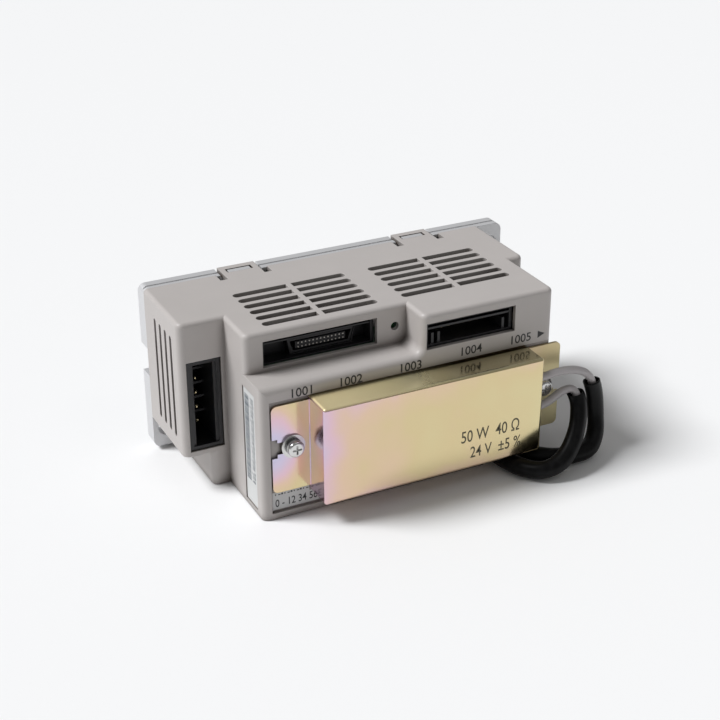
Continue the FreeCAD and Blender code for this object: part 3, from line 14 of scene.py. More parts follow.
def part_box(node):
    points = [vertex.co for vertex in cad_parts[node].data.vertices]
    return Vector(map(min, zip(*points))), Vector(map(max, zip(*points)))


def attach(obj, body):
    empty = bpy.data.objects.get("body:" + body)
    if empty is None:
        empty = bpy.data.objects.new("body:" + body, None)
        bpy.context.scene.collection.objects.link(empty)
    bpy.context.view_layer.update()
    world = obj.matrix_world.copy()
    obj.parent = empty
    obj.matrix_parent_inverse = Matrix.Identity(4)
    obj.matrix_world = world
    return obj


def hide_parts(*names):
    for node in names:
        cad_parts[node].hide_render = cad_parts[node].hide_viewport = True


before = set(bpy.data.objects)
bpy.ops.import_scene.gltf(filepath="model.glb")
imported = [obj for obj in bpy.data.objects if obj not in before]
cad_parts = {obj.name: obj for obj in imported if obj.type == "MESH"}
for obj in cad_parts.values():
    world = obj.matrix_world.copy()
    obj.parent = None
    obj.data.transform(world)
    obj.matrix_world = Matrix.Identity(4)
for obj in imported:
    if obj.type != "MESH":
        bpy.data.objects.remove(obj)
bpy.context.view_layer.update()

MM = 0.001
COLOUR = tuple[float, float, float]
LOG = logging.getLogger("driver")


# ------------------------------------------------------------------ shader maths

class Signal:
    """A value in a shader; Python's operators on it add the Math nodes."""

    def __init__(self, shader: "Shader", socket: bpy.types.NodeSocket) -> None:
        """Wrap one output socket of a shader."""
        self.shader = shader
        self.socket = socket

    def __add__(self, other: "Operand") -> "Signal":
        """This value plus another."""
        return self.shader.math("ADD", self, other)

    def __sub__(self, other: "Operand") -> "Signal":
        """This value minus another."""
        return self.shader.math("SUBTRACT", self, other)

    def __rsub__(self, other: "Operand") -> "Signal":
        """Another value minus this one."""
        return self.shader.math("SUBTRACT", other, self)

    def __mul__(self, other: "Operand") -> "Signal":
        """This value times another."""
        return self.shader.math("MULTIPLY", self, other)

    def __truediv__(self, other: "Operand") -> "Signal":
        """This value over another."""
        return self.shader.math("DIVIDE", self, other)

    def __rtruediv__(self, other: "Operand") -> "Signal":
        """Another value over this one."""
        return self.shader.math("DIVIDE", other, self)

    __radd__ = __add__
    __rmul__ = __mul__

    def above(self, edge: float, softness: float) -> "Signal":
        """A mask that is 1 where this value is above an edge.

        Args:
            edge: The value at the middle of the step.
            softness: Half the width of the step.

        Returns:
            The mask, from 0 to 1.
        """
        return self.shader.node("MapRange", {"clamp": True}, {
            "Value": self, "From Min": edge - softness, "From Max": edge + softness})


Operand = Union[Signal, float]

NOISE_ROUGHNESS = 0.55       # weight of each finer layer of a noise
BEVEL_SAMPLES = 6
OCCLUSION_SAMPLES = 8
RIM_LEAN = 0.06              # how far the normal leans over in the middle of an edge's mask
RIM_SOFTNESS = 0.05


class Shader:
    """One node material with a Principled surface."""

    def __init__(self, name: str) -> None:
        """Start an empty material that holds only the surface and the output."""
        self.material = bpy.data.materials.new(name)
        self.material.use_nodes = True
        self.tree = self.material.node_tree
        self.tree.nodes.clear()
        self.surface = self.tree.nodes.new("ShaderNodeBsdfPrincipled")
        output = self.tree.nodes.new("ShaderNodeOutputMaterial")
        self.tree.links.new(self.surface.outputs["BSDF"], output.inputs["Surface"])

    def node(self, kind: str, settings: dict[str, Any], values: dict[Any, Any], output: Any = 0) -> Signal:
        """Add one node.

        Args:
            kind: The node's type without its ShaderNode prefix.
            settings: The node's own settings, set first; "stops" gives a ramp's places and colours.
            values: What its sockets take, a number, a colour or a signal, by name or by place.
            output: The socket that is returned, by name or by place.

        Returns:
            The signal of that output.
        """
        made = self.tree.nodes.new("ShaderNode" + kind)
        for name, value in settings.items():
            if name == "stops":
                self._stops(made.color_ramp, value)
            else:
                setattr(made, name, value)
        for name, value in values.items():
            self._feed(made.inputs[name], value)
        return Signal(self, made.outputs[output])

    def _stops(self, ramp: bpy.types.ColorRamp, stops: Sequence[tuple[float, COLOUR]]) -> None:
        """Give a ramp its stops, in order."""
        while len(ramp.elements) < len(stops):
            ramp.elements.new(1.0)
        for element, (place, colour) in zip(ramp.elements, stops):
            element.position = place
            element.color = (*colour, 1.0)

    def _feed(self, socket: bpy.types.NodeSocket, value: Any) -> None:
        """Link a signal to a socket, or set the socket's own value."""
        if isinstance(value, Signal):
            self.tree.links.new(value.socket, socket)
        elif isinstance(value, tuple) and len(value) == 3 and socket.type == "RGBA":
            socket.default_value = (*value, 1.0)
        else:
            socket.default_value = value

    def math(self, operation: str, first: Operand, second: Operand) -> Signal:
        """One Math node on two values."""
        return self.node("Math", {"operation": operation}, {0: first, 1: second})

    def place(self, scale: Sequence[float] = (1.0, 1.0, 1.0), turn: Sequence[float] = (0.0, 0.0, 0.0)) -> Signal:
        """Where a point is on the object, in scaled and turned coordinates.

        Args:
            scale: Factors along the three axes, applied to metres.
            turn: Rotation about the three axes, in radians.

        Returns:
            The vector signal.
        """
        where = self.node("TexCoord", {}, {}, "Object")
        return self.node("Mapping", {}, {"Vector": where, "Scale": tuple(scale), "Rotation": tuple(turn)})

    def along(self, axis: int) -> Signal:
        """The coordinate along one axis, in metres."""
        where = self.node("TexCoord", {}, {}, "Object")
        return self.node("SeparateXYZ", {}, {0: where}, axis)

    def noise(self, size: float, detail: float = 2.0, stretch: Sequence[float] = (1.0, 1.0, 1.0),
              turn: Sequence[float] = (0.0, 0.0, 0.0)) -> Signal:
        """Noise whose features are about a given size.

        Args:
            size: Width of a feature in metres.
            detail: How many finer layers are added.
            stretch: How much longer a feature is along each axis.
            turn: Rotation of the stretched axes, in radians.

        Returns:
            The noise, about 0.3 to 0.7.
        """
        scale = [1.0 / (size * s) for s in stretch]
        return self.node("TexNoise", {}, {"Vector": self.place(scale, turn), "Scale": 1.0, "Detail": detail,
                                          "Roughness": NOISE_ROUGHNESS}, "Fac")

    def blend(self, factor: Operand, first: Any, second: Any) -> Signal:
        """A colour mix: the first colour at 0, the second at 1."""
        return self.node("Mix", {"data_type": "RGBA"}, {0: factor, 6: first, 7: second}, 2)

    def edges(self, radius: float) -> tuple[Signal, Signal]:
        """The softened normal near edges, and a mask of the edges.

        Args:
            radius: Radius of the softened edge in metres.

        Returns:
            The normal, and a mask that is 0 on flat faces.
        """
        soft = self.node("Bevel", {"samples": BEVEL_SAMPLES}, {"Radius": radius})
        plain = self.node("NewGeometry", {}, {}, "Normal")
        agree = self.node("VectorMath", {"operation": "DOT_PRODUCT"}, {0: soft, 1: plain}, "Value")
        return soft, (1.0 - agree).above(RIM_LEAN, RIM_SOFTNESS)

    def bump(self, height: Signal, depth: float, strength: float, normal: Signal) -> None:
        """Relief on the surface.

        Args:
            height: The relief, from 0 to 1.
            depth: The depth of the relief in metres.
            strength: How much of it shows.
            normal: The softened normal that it sits on.
        """
        values = {"Height": height, "Distance": depth, "Strength": strength, "Normal": normal}
        self.set(Normal=self.node("Bump", {}, values))

    def set(self, **values: Any) -> None:
        """Set or link the surface's sockets; an underscore stands for a space."""
        for name, value in values.items():
            self._feed(self.surface.inputs[name.replace("_", " ")], value)


# ------------------------------------------------------------------ finishes

class Grain(Enum):
    """How a surface is marked by the way it was made."""

    MOULDED = "fine spark-eroded texture"
    BRUSHED = "long fine lines along X"
    CAST = "soft pebbling"
    DRAWN = "lines along the height"
    SMOOTH = "nearly none"


GRAIN_SHAPES: dict[Grain, tuple[float, tuple[float, float, float]]] = {
    Grain.MOULDED: (0.22 * MM, (1.0, 1.0, 1.0)),
    Grain.BRUSHED: (0.12 * MM, (60.0, 1.0, 1.0)),
    Grain.CAST: (0.8 * MM, (1.0, 1.0, 1.0)),
    Grain.DRAWN: (0.15 * MM, (1.0, 1.0, 40.0)),
    Grain.SMOOTH: (1.5 * MM, (1.0, 1.0, 1.0)),
}

SPECK_SIZE = 0.35 * MM
SPECK_SHARE = 0.3            # of the mottling; clouds make up the rest
DARKENING, LIGHTENING = 2.4, 1.2
SMEAR_STRETCH = 2.5          # size of a smear over that of a cloud
RIM_WEAR = 0.8
RIM_POLISH = 0.06
GRAIN_ROUGHNESS = 0.1
OPEN_SKY = 0.80              # more shelter than this gets painted shade
# colour of the painted shade in sheltered places, as shares of the base colour
PAINTED_SHADE_SHARES = (0.15, 0.12, 0.10)
MILK_DULLING = 1.5           # how fast milkiness takes the metal's shine
COAT_ROUGHNESS = 0.12


@dataclass(frozen=True)
class Finish:
    """A surface of one base colour with its mottling, grain and worn edges."""

    name: str
    colour: COLOUR
    roughness: float
    metallic: float = 0.0
    grain: Grain = Grain.MOULDED
    grain_depth: float = 0.02 * MM
    grain_strength: float = 0.35
    mottle: float = 0.06
    mottle_size: float = 9.0 * MM
    edge_radius: float = 0.15 * MM
    edge_lift: float = 0.12
    coat: float = 0.0
    specular: float = 0.5
    # painted shade: how strongly sheltered places are darkened, and how far the occlusion looks
    painted_shade: float = 0.0
    painted_shade_reach: float = 5.0 * MM
    smear_depth: float = 0.22

    def bloom(self, shader: Shader) -> Operand:
        """How milky the surface is in places: it adds roughness and takes the metal's shine."""
        return 0.0

    def tint(self, shader: Shader) -> Signal:
        """The colour before its edges are worn."""
        cloud = shader.noise(self.mottle_size, 3.0)
        speck = shader.noise(SPECK_SIZE, 1.0)
        darker = tuple(c * (1.0 - DARKENING * self.mottle) for c in self.colour)
        lighter = tuple(min(1.0, c * (1.0 + LIGHTENING * self.mottle)) for c in self.colour)
        return shader.blend(cloud * (1.0 - SPECK_SHARE) + speck * SPECK_SHARE, darker, lighter)

    def material(self) -> bpy.types.Material:
        """Build the material."""
        shader = Shader(self.name)
        normal, rim = shader.edges(self.edge_radius)
        size, stretch = GRAIN_SHAPES[self.grain]
        grain = shader.noise(size, 2.0, stretch)
        smear = shader.noise(self.mottle_size * SMEAR_STRETCH, 4.0)
        worn = tuple(min(1.0, c + (1.0 - c) * self.edge_lift) for c in self.colour)
        colour = shader.blend(rim * RIM_WEAR, self.tint(shader), worn)
        # Painted shade: the colour darkens towards a dark brown where ambient occlusion finds the surface sheltered,
        # in slots, recesses and concave corners.
        if self.painted_shade:
            sky = shader.node("AmbientOcclusion", {"samples": OCCLUSION_SAMPLES}, {"Distance": self.painted_shade_reach}, "AO")
            painted_shade_colour = tuple(c * share for c, share in zip(self.colour, PAINTED_SHADE_SHARES))
            colour = shader.blend((OPEN_SKY - sky) * self.painted_shade, colour, painted_shade_colour)
        milky = self.bloom(shader)
        shader.set(Base_Color=colour, Metallic=self.metallic - milky * MILK_DULLING,
                   Specular_IOR_Level=self.specular)
        uneven = (smear - 0.5) * self.smear_depth + (grain - 0.5) * GRAIN_ROUGHNESS - rim * RIM_POLISH
        shader.set(Roughness=self.roughness + uneven + milky)
        shader.bump(grain, self.grain_depth, self.grain_strength, normal)
        if self.coat:
            shader.set(Coat_Weight=self.coat, Coat_Roughness=COAT_ROUGHNESS)
        return shader.material


@dataclass(frozen=True)
class PassivatedSheet(Finish):
    """Bright sheet steel with a yellow passivation film whose thickness drifts through pink and lilac."""

    film: tuple[tuple[float, COLOUR], ...] = (
        (0.00, (0.52, 0.56, 0.74)), (0.20, (0.62, 0.56, 0.72)), (0.34, (0.74, 0.52, 0.60)),
        (0.46, (0.74, 0.55, 0.40)), (0.62, (0.69, 0.57, 0.33)), (0.82, (0.70, 0.62, 0.36)),
        (1.00, (0.72, 0.66, 0.44)))
    swirl_size: float = 24.0 * MM
    swirl_turn: float = 0.55
    smoke_size: float = 7.0 * MM
    smoke_weight: float = 0.10
    slot_pool: tuple[float, float] = (8.5 * MM, 13.5 * MM)
    pool_rise: float = 0.46
    flange_swirl: float = 0.50
    rim_width: float = 13.0 * MM
    rim_rise: float = 0.24
    foot_squash: float = 1.6
    top_start: float = 0.25
    foot_start: float = 0.45
    box_start: float = 0.27
    drift_rise: float = 0.28
    top_rise: float = 0.36
    box_swirl: float = 0.60
    haze: float = 0.34
    haze_start: float = 1.25
    haze_fall: float = 1.9
    flange_haze: float = 0.30

    def on_top(self, shader: Shader) -> Signal:
        """A mask of the case's top face."""
        return shader.along(2).above(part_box("resistor_case")[1][2] - 0.5 * MM, 0.3 * MM)

    def flange_film(self, shader: Shader, cloud: Signal) -> Signal:
        """The film on the left flange: thin round its slot, thicker further off.

        Args:
            shader: The shader that is built.
            cloud: The large swirls, from -0.5 to 0.5.

        Returns:
            The film's place on its ramp.
        """
        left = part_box("resistor_case")[0][0]
        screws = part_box("resistor_screws")
        wide, tall = self.slot_pool
        sideways = (shader.along(0) - left) / wide
        upright = (shader.along(2) - (screws[0][2] + screws[1][2]) / 2) / tall
        pool = shader.math("POWER", sideways * sideways + upright * upright, 0.5)
        return pool * self.pool_rise + cloud * self.flange_swirl

    def box_film(self, shader: Shader, cloud: Signal) -> Signal:
        """The film on the box: thin along its edges, thicker to the right and on top.

        Args:
            shader: The shader that is built.
            cloud: The large swirls, from -0.5 to 0.5.

        Returns:
            The film's place on its ramp.
        """
        low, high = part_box("resistor_case")
        across, upward = shader.along(0), shader.along(2)
        from_left = (across - CASE_FACE.left()) / self.rim_width
        from_top = (high[2] - upward) / self.rim_width + self.top_start
        from_foot = (upward - low[2]) / self.rim_width * self.foot_squash + self.foot_start
        nearest = shader.math("MINIMUM", shader.math("MINIMUM", from_left, from_top), from_foot)
        ease = shader.node("Clamp", {}, {"Value": nearest})
        drift = (across - CASE_FACE.left()) / (high[0] - CASE_FACE.left())
        rise = ease * self.rim_rise + drift * self.drift_rise + self.on_top(shader) * self.top_rise
        return rise + cloud * self.box_swirl + self.box_start

    def tint(self, shader: Shader) -> Signal:
        """The film's colour on the left flange and on the box."""
        cloud = shader.noise(self.swirl_size, 2.0, (1.0, 1.0, 1.6), (0.0, self.swirl_turn, 0.0)) - 0.5
        smoke = shader.noise(self.smoke_size, 3.0) - 0.5
        flange, box = self.flange_film(shader, cloud), self.box_film(shader, cloud)
        on_box = shader.math("GREATER_THAN", shader.along(0), CASE_FACE.left() - 0.2 * MM)
        place = flange + (box - flange) * on_box + smoke * self.smoke_weight
        return shader.node("ValToRGB", {"stops": self.film}, {"Fac": place}, "Color")

    def bloom(self, shader: Shader) -> Signal:
        """The milky film on the left of the box's top, and a little of it on the right flange."""
        across = shader.along(0)
        drift = (across - CASE_FACE.left()) / (CASE_FACE.right() - CASE_FACE.left())
        left_side = shader.node("Clamp", {}, {"Value": self.haze_start - drift * self.haze_fall})
        on_flange = across.above(CASE_FACE.right() + 0.2 * MM, 0.1 * MM)
        return self.on_top(shader) * left_side * self.haze + on_flange * self.flange_haze


@dataclass(frozen=True)
class BoardLacquer(Finish):
    """Green lacquer over copper tracks."""

    copper: COLOUR = (0.015, 0.085, 0.036)
    cell_size: float = 9.0 * MM
    cell_offset: float = 0.35
    track_width: float = 0.04
    patch_lift: float = 1.15
    blotch_size: float = 2.0 * MM

    def tint(self, shader: Shader) -> Signal:
        """Tracks a shade lighter than the bare board."""
        patch = tuple(c * self.patch_lift for c in self.colour)
        cells = shader.node("TexBrick", {"offset": self.cell_offset}, {
            "Vector": shader.place((1 / self.cell_size,) * 3), "Scale": 1.0, "Mortar Size": self.track_width,
            "Color1": self.colour, "Color2": patch, "Mortar": self.copper}, "Color")
        return shader.blend(shader.noise(self.blotch_size, 2.0) * 0.5, cells, self.colour)


@dataclass(frozen=True)
class ShrinkRubber(Finish):
    """Black sleeve with lengthwise creases and a dusting of grey."""

    dust: COLOUR = (0.014, 0.014, 0.015)
    patch_size: float = 2.2 * MM
    patch_start: float = 0.56
    patch_softness: float = 0.16
    dust_weight: float = 0.4

    def tint(self, shader: Shader) -> Signal:
        """Dust that gathers in soft patches."""
        patch = shader.noise(self.patch_size, 4.0, (1.0, 1.0, 2.5)).above(self.patch_start, self.patch_softness)
        return shader.blend(patch * self.dust_weight, self.colour, self.dust)


# the cover's slots, recesses and concave corners get painted shade from the occlusion darkening
PLASTIC = Finish("cover_plastic", (0.455, 0.425, 0.408), 0.46, mottle=0.03, edge_radius=0.35 * MM, edge_lift=0.10,
                 grain_depth=0.03 * MM, grain_strength=0.4, painted_shade=1.8)
ALUMINIUM = Finish("plate_aluminium", (0.66, 0.66, 0.67), 0.46, 0.45, Grain.BRUSHED, mottle=0.04,
                   edge_radius=0.3 * MM, edge_lift=0.35)
BLACK = Finish("connector_black", (0.013, 0.013, 0.015), 0.36, mottle=0.10, edge_lift=0.03, grain_depth=0.012 * MM)
CONTACT = Finish("contact_metal", (0.86, 0.74, 0.46), 0.22, 1.0, Grain.SMOOTH, mottle=0.05, edge_radius=0.06 * MM)
TIN = Finish("contact_tin", (0.62, 0.60, 0.56), 0.30, 0.8, Grain.SMOOTH, mottle=0.04, edge_radius=0.03 * MM)
SHELL = Finish("shell_metal", (0.03, 0.03, 0.032), 0.45, 0.9, Grain.BRUSHED, mottle=0.08, edge_radius=0.08 * MM)
ZINC = Finish("zinc_steel", (0.70, 0.70, 0.69), 0.26, 1.0, Grain.CAST, mottle=0.07, mottle_size=3 * MM,
              edge_radius=0.10 * MM, grain_strength=0.2, edge_lift=0.3)
SPRING = Finish("spring_steel", (0.16, 0.16, 0.165), 0.32, 1.0, Grain.CAST, mottle=0.08, mottle_size=3 * MM)
PASSIVATED = PassivatedSheet("passivated_steel", (0.72, 0.63, 0.37), 0.15, 1.0, Grain.SMOOTH, mottle=0.04,
                             smear_depth=0.10, grain_depth=0.004 * MM, grain_strength=0.05,
                             edge_radius=0.15 * MM, edge_lift=0.45)
CERAMIC = Finish("ceramic", (0.72, 0.68, 0.60), 0.75, grain=Grain.CAST)
LEAD = Finish("lead_insulation", (0.43, 0.405, 0.41), 0.34, grain=Grain.SMOOTH, mottle=0.05, mottle_size=4 * MM,
              edge_radius=0.05 * MM)
SLEEVE = ShrinkRubber("sleeve_rubber", (0.002, 0.002, 0.0022), 0.38, grain=Grain.DRAWN, grain_depth=0.05 * MM,
                      grain_strength=0.25, edge_radius=0.12 * MM, edge_lift=0.015, specular=0.14)
NYLON = Finish("plug_nylon", (0.74, 0.72, 0.66), 0.45, mottle=0.04)
LACQUER = BoardLacquer("board_laminate", (0.006, 0.040, 0.018), 0.40, mottle=0.05, coat=0.2)
EPOXY = Finish("chip_epoxy", (0.025, 0.025, 0.028), 0.55, mottle=0.08)
SILICONE = Finish("pad_silicone", (0.38, 0.45, 0.52), 0.80)
FILM = Finish("capacitor_film", (0.02, 0.03, 0.09), 0.25, grain=Grain.SMOOTH, coat=0.4)
FERRITE = Finish("ferrite", (0.055, 0.055, 0.058), 0.70, grain=Grain.CAST, edge_lift=0.08)
TAPE = Finish("winding_tape", (0.72, 0.50, 0.06), 0.30, grain=Grain.BRUSHED, coat=0.3)
BRASS = Finish("insert_brass", (0.78, 0.58, 0.25), 0.25, 1.0, Grain.BRUSHED)
LENS = Finish("lamp_lens", (0.03, 0.10, 0.035), 0.12, grain=Grain.SMOOTH, coat=0.8)
PAPER = Finish("label_paper", (0.58, 0.585, 0.58), 0.55, grain=Grain.CAST, grain_depth=0.01 * MM, mottle=0.02,
               edge_radius=0.03 * MM)
INK = Finish("print_ink", (0.022, 0.021, 0.022), 0.55, grain=Grain.SMOOTH, mottle=0.12, edge_radius=0.01 * MM)
BAR_INK = Finish("bar_ink", (0.085, 0.105, 0.13), 0.55, grain=Grain.SMOOTH, mottle=0.2, edge_radius=0.01 * MM)
SHEET_INK = Finish("sheet_ink", (0.11, 0.095, 0.05), 0.42, grain=Grain.SMOOTH, mottle=0.15, edge_radius=0.01 * MM)


class Finishes:
    """Every finish's material, built once when it is first needed."""

    made: dict[str, bpy.types.Material] = {}

    @classmethod
    def of(cls, finish: Finish) -> bpy.types.Material:
        """The material of a finish."""
        if finish.name not in cls.made:
            cls.made[finish.name] = finish.material()
        return cls.made[finish.name]


# ------------------------------------------------------------------ shared making

def dress(finish: Finish, *nodes: str) -> None:
    """Give model nodes a finish.

    Args:
        finish: The finish.
        nodes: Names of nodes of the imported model.
    """
    for name in nodes:
        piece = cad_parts[name]
        piece.data.materials.clear()
        piece.data.materials.append(Finishes.of(finish))
        LOG.info("%s: %s", name, finish.name)


def settle(piece: bpy.types.Object, finish: Finish) -> None:
    """Finish a new piece and tie it to the module's only body.

    Args:
        piece: The new object.
        finish: What covers it.
    """
    piece.data.materials.clear()
    piece.data.materials.append(Finishes.of(finish))
    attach(piece, "root")
    LOG.info("%s: %s", piece.name, finish.name)


def mesh_piece(name: str, shape: bmesh.types.BMesh, smooth: bool = False) -> bpy.types.Object:
    """Turn a bmesh into an object in the scene.

    Args:
        name: Name of the object.
        shape: The bmesh, which is freed.
        smooth: Whether its faces are shaded smooth.

    Returns:
        The new object.
    """
    data = bpy.data.meshes.new(name)
    bmesh.ops.recalc_face_normals(shape, faces=shape.faces)
    shape.to_mesh(data)
    shape.free()
    if smooth:
        data.shade_smooth()
    piece = bpy.data.objects.new(name, data)
    bpy.context.scene.collection.objects.link(piece)
    return piece


def add_plate(shape: bmesh.types.BMesh, low: Sequence[float], high: Sequence[float]) -> None:
    """Add one box between two corners to a bmesh."""
    middle = [(a + b) / 2 for a, b in zip(low, high)]
    size = [abs(b - a) for a, b in zip(low, high)]
    bmesh.ops.create_cube(shape, size=1.0, matrix=Matrix.Translation(middle) @ Matrix.Diagonal((*size, 1.0)))


RIGHTWARD, UPWARD = Vector((1, 0, 0)), Vector((0, 0, 1))
TYPE_OVER_FIGURE = 1.38      # type size over a figure's height


@dataclass(frozen=True)
class PrintedLine:
    """One line of printed figures on an upright face that looks to the front."""

    words: str
    height: float
    origin: Vector
    squeeze: float
    thickness: float = 0.03 * MM
    weight: float = 0.012

    def build(self, name: str) -> bpy.types.Object:
        """Cut the figures as a thin solid that stands on the face.

        Args:
            name: Name of the piece.

        Returns:
            The mesh object.
        """
        curve = bpy.data.curves.new(name, "FONT")
        curve.body = self.words
        curve.size = self.height * TYPE_OVER_FIGURE
        curve.extrude = self.thickness / 2
        curve.offset = self.height * self.weight
        curve.resolution_u = 4
        holder = bpy.data.objects.new(name, curve)
        bpy.context.scene.collection.objects.link(holder)
        bpy.context.view_layer.update()
        data = bpy.data.meshes.new_from_object(holder.evaluated_get(bpy.context.evaluated_depsgraph_get()))
        bpy.data.objects.remove(holder)
        outward = RIGHTWARD.cross(UPWARD)
        axes = Matrix((RIGHTWARD * self.squeeze, UPWARD, outward)).transposed().to_4x4()
        data.transform(Matrix.Translation(self.origin + outward * self.thickness / 2) @ axes)
        piece = bpy.data.objects.new(name, data)
        bpy.context.scene.collection.objects.link(piece)
        return piece


@dataclass(frozen=True)
class CaseFace:
    """Where the resistor case's box stands between its flanges."""

    flange: float = 12.6 * MM

    def left(self) -> float:
        """Left side of the box."""
        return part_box("resistor_case")[0][0] + self.flange

    def right(self) -> float:
        """Right side of the box."""
        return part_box("resistor_case")[1][0] - self.flange


CASE_FACE = CaseFace()


# ------------------------------------------------------------------ studio

@dataclass
class Studio:
    """Pale floor, soft lights and the camera."""

    azimuth: float = -26.202
    elevation: float = 26.496
    roll: float = -0.217
    distance: float = 498.85 * MM
    target: Vector = field(default_factory=lambda: Vector((-2.983, 3.387, 31.609)) * MM)
    lens: float = 76.26
    sensor: float = 36.0
    near_clip: float = 0.01
    floor_reach: float = 3.0
    floor_drop: float = 0.2 * MM
    floor_grey: float = 0.86
    sky_strength: float = 0.26
    sun_place: tuple[float, float, float] = (-0.72, 0.30, 0.95)
    sun_strength: float = 3.35
    sun_spread: float = 22.0
    sun_colour: COLOUR = (0.975, 0.985, 1.0)
    strip_place: tuple[float, float, float] = (0.35, -0.75, 1.25)
    strip_size: float = 0.35
    strip_power: float = 0.5
    strip_colour: COLOUR = (1.0, 0.99, 0.97)

    def camera(self) -> None:
        """Stand the camera at its angle, level but for a slight roll."""
        a, e = math.radians(self.azimuth), math.radians(self.elevation)
        back = Vector((math.sin(a) * math.cos(e), -math.cos(a) * math.cos(e), math.sin(e)))
        data = bpy.data.cameras.new("camera")
        data.lens = self.lens
        data.sensor_width = self.sensor
        data.clip_start = self.near_clip
        eye = bpy.data.objects.new("camera", data)
        eye.rotation_mode = "QUATERNION"
        turn = back.to_track_quat("Z", "Y")
        eye.rotation_quaternion = turn @ Matrix.Rotation(math.radians(self.roll), 3, "Z").to_quaternion()
        eye.location = self.target + back * self.distance
        bpy.context.scene.collection.objects.link(eye)
        bpy.context.scene.camera = eye

    def sun(self) -> None:
        """Shine the wide key light from the left, a little from behind."""
        data = bpy.data.lights.new("key_light", "SUN")
        data.energy = self.sun_strength
        data.angle = math.radians(self.sun_spread)
        data.color = self.sun_colour
        light = bpy.data.objects.new("key_light", data)
        light.rotation_mode = "QUATERNION"
        light.rotation_quaternion = Vector(self.sun_place).to_track_quat("Z", "Y")
        bpy.context.scene.collection.objects.link(light)

    def strip(self) -> None:
        """Hang one square soft light in front that faces the object."""
        data = bpy.data.lights.new("strip_light", "AREA")
        data.shape = "SQUARE"
        data.size = self.strip_size
        data.energy = self.strip_power
        data.color = self.strip_colour
        light = bpy.data.objects.new("strip_light", data)
        light.location = self.strip_place
        light.rotation_mode = "QUATERNION"
        light.rotation_quaternion = (Vector(self.strip_place) - self.target).to_track_quat("Z", "Y")
        bpy.context.scene.collection.objects.link(light)

    def floor(self) -> None:
        """Lay the plain pale floor just under the object."""
        shape = bmesh.new()
        bmesh.ops.create_grid(shape, x_segments=1, y_segments=1, size=self.floor_reach)
        floor = mesh_piece("floor", shape)
        floor.location.z = -self.floor_drop
        shader = Shader("floor_paper")
        shader.set(Base_Color=(self.floor_grey,) * 3, Roughness=0.85, Specular_IOR_Level=0.1)
        floor.data.materials.append(shader.material)

    def sky(self) -> None:
        """Fill the room with even white light."""
        world = bpy.data.worlds.new("studio")
        world.use_nodes = True
        background = world.node_tree.nodes["Background"]
        background.inputs["Color"].default_value = (1.0, 1.0, 1.0, 1.0)
        background.inputs["Strength"].default_value = self.sky_strength
        bpy.context.scene.world = world
        bpy.context.scene.view_settings.view_transform = "Standard"

    def build(self) -> None:
        """Make the floor, the sky, the lights and the camera."""
        self.floor()
        self.sky()
        self.sun()
        self.strip()
        self.camera()


# ------------------------------------------------------------------ leads and sleeves

UPPER_ROUTE = [
    (41.1, -32.0, 30.4), (44.8, -32.0, 30.4), (49.8, -32.0, 31.2), (56.8, -32.0, 30.8), (63.0, -31.8, 27.8),
    (65.8, -31.6, 21.2), (66.6, -32.0, 13.8), (65.4, -34.8, 7.0), (60.8, -38.4, 3.2), (53.8, -39.2, 3.1),
    (46.8, -37.4, 3.1), (41.4, -32.8, 3.1), (38.8, -26.4, 3.1), (38.4, -20.0, 3.5), (38.4, -14.3, 3.5),
]
LOWER_ROUTE = [
    (41.1, -32.0, 20.0), (44.4, -32.0, 20.0), (48.8, -32.0, 21.4), (52.4, -32.0, 23.8), (57.0, -32.4, 24.2),
    (58.0, -34.6, 19.4), (55.4, -38.6, 14.6), (50.9, -42.6, 9.6), (45.2, -44.8, 5.2), (39.0, -44.0, 3.4),
    (34.8, -39.2, 3.1), (32.6, -33.0, 3.1), (31.4, -26.8, 3.2), (31.2, -20.6, 3.5), (31.2, -14.3, 3.5),
]


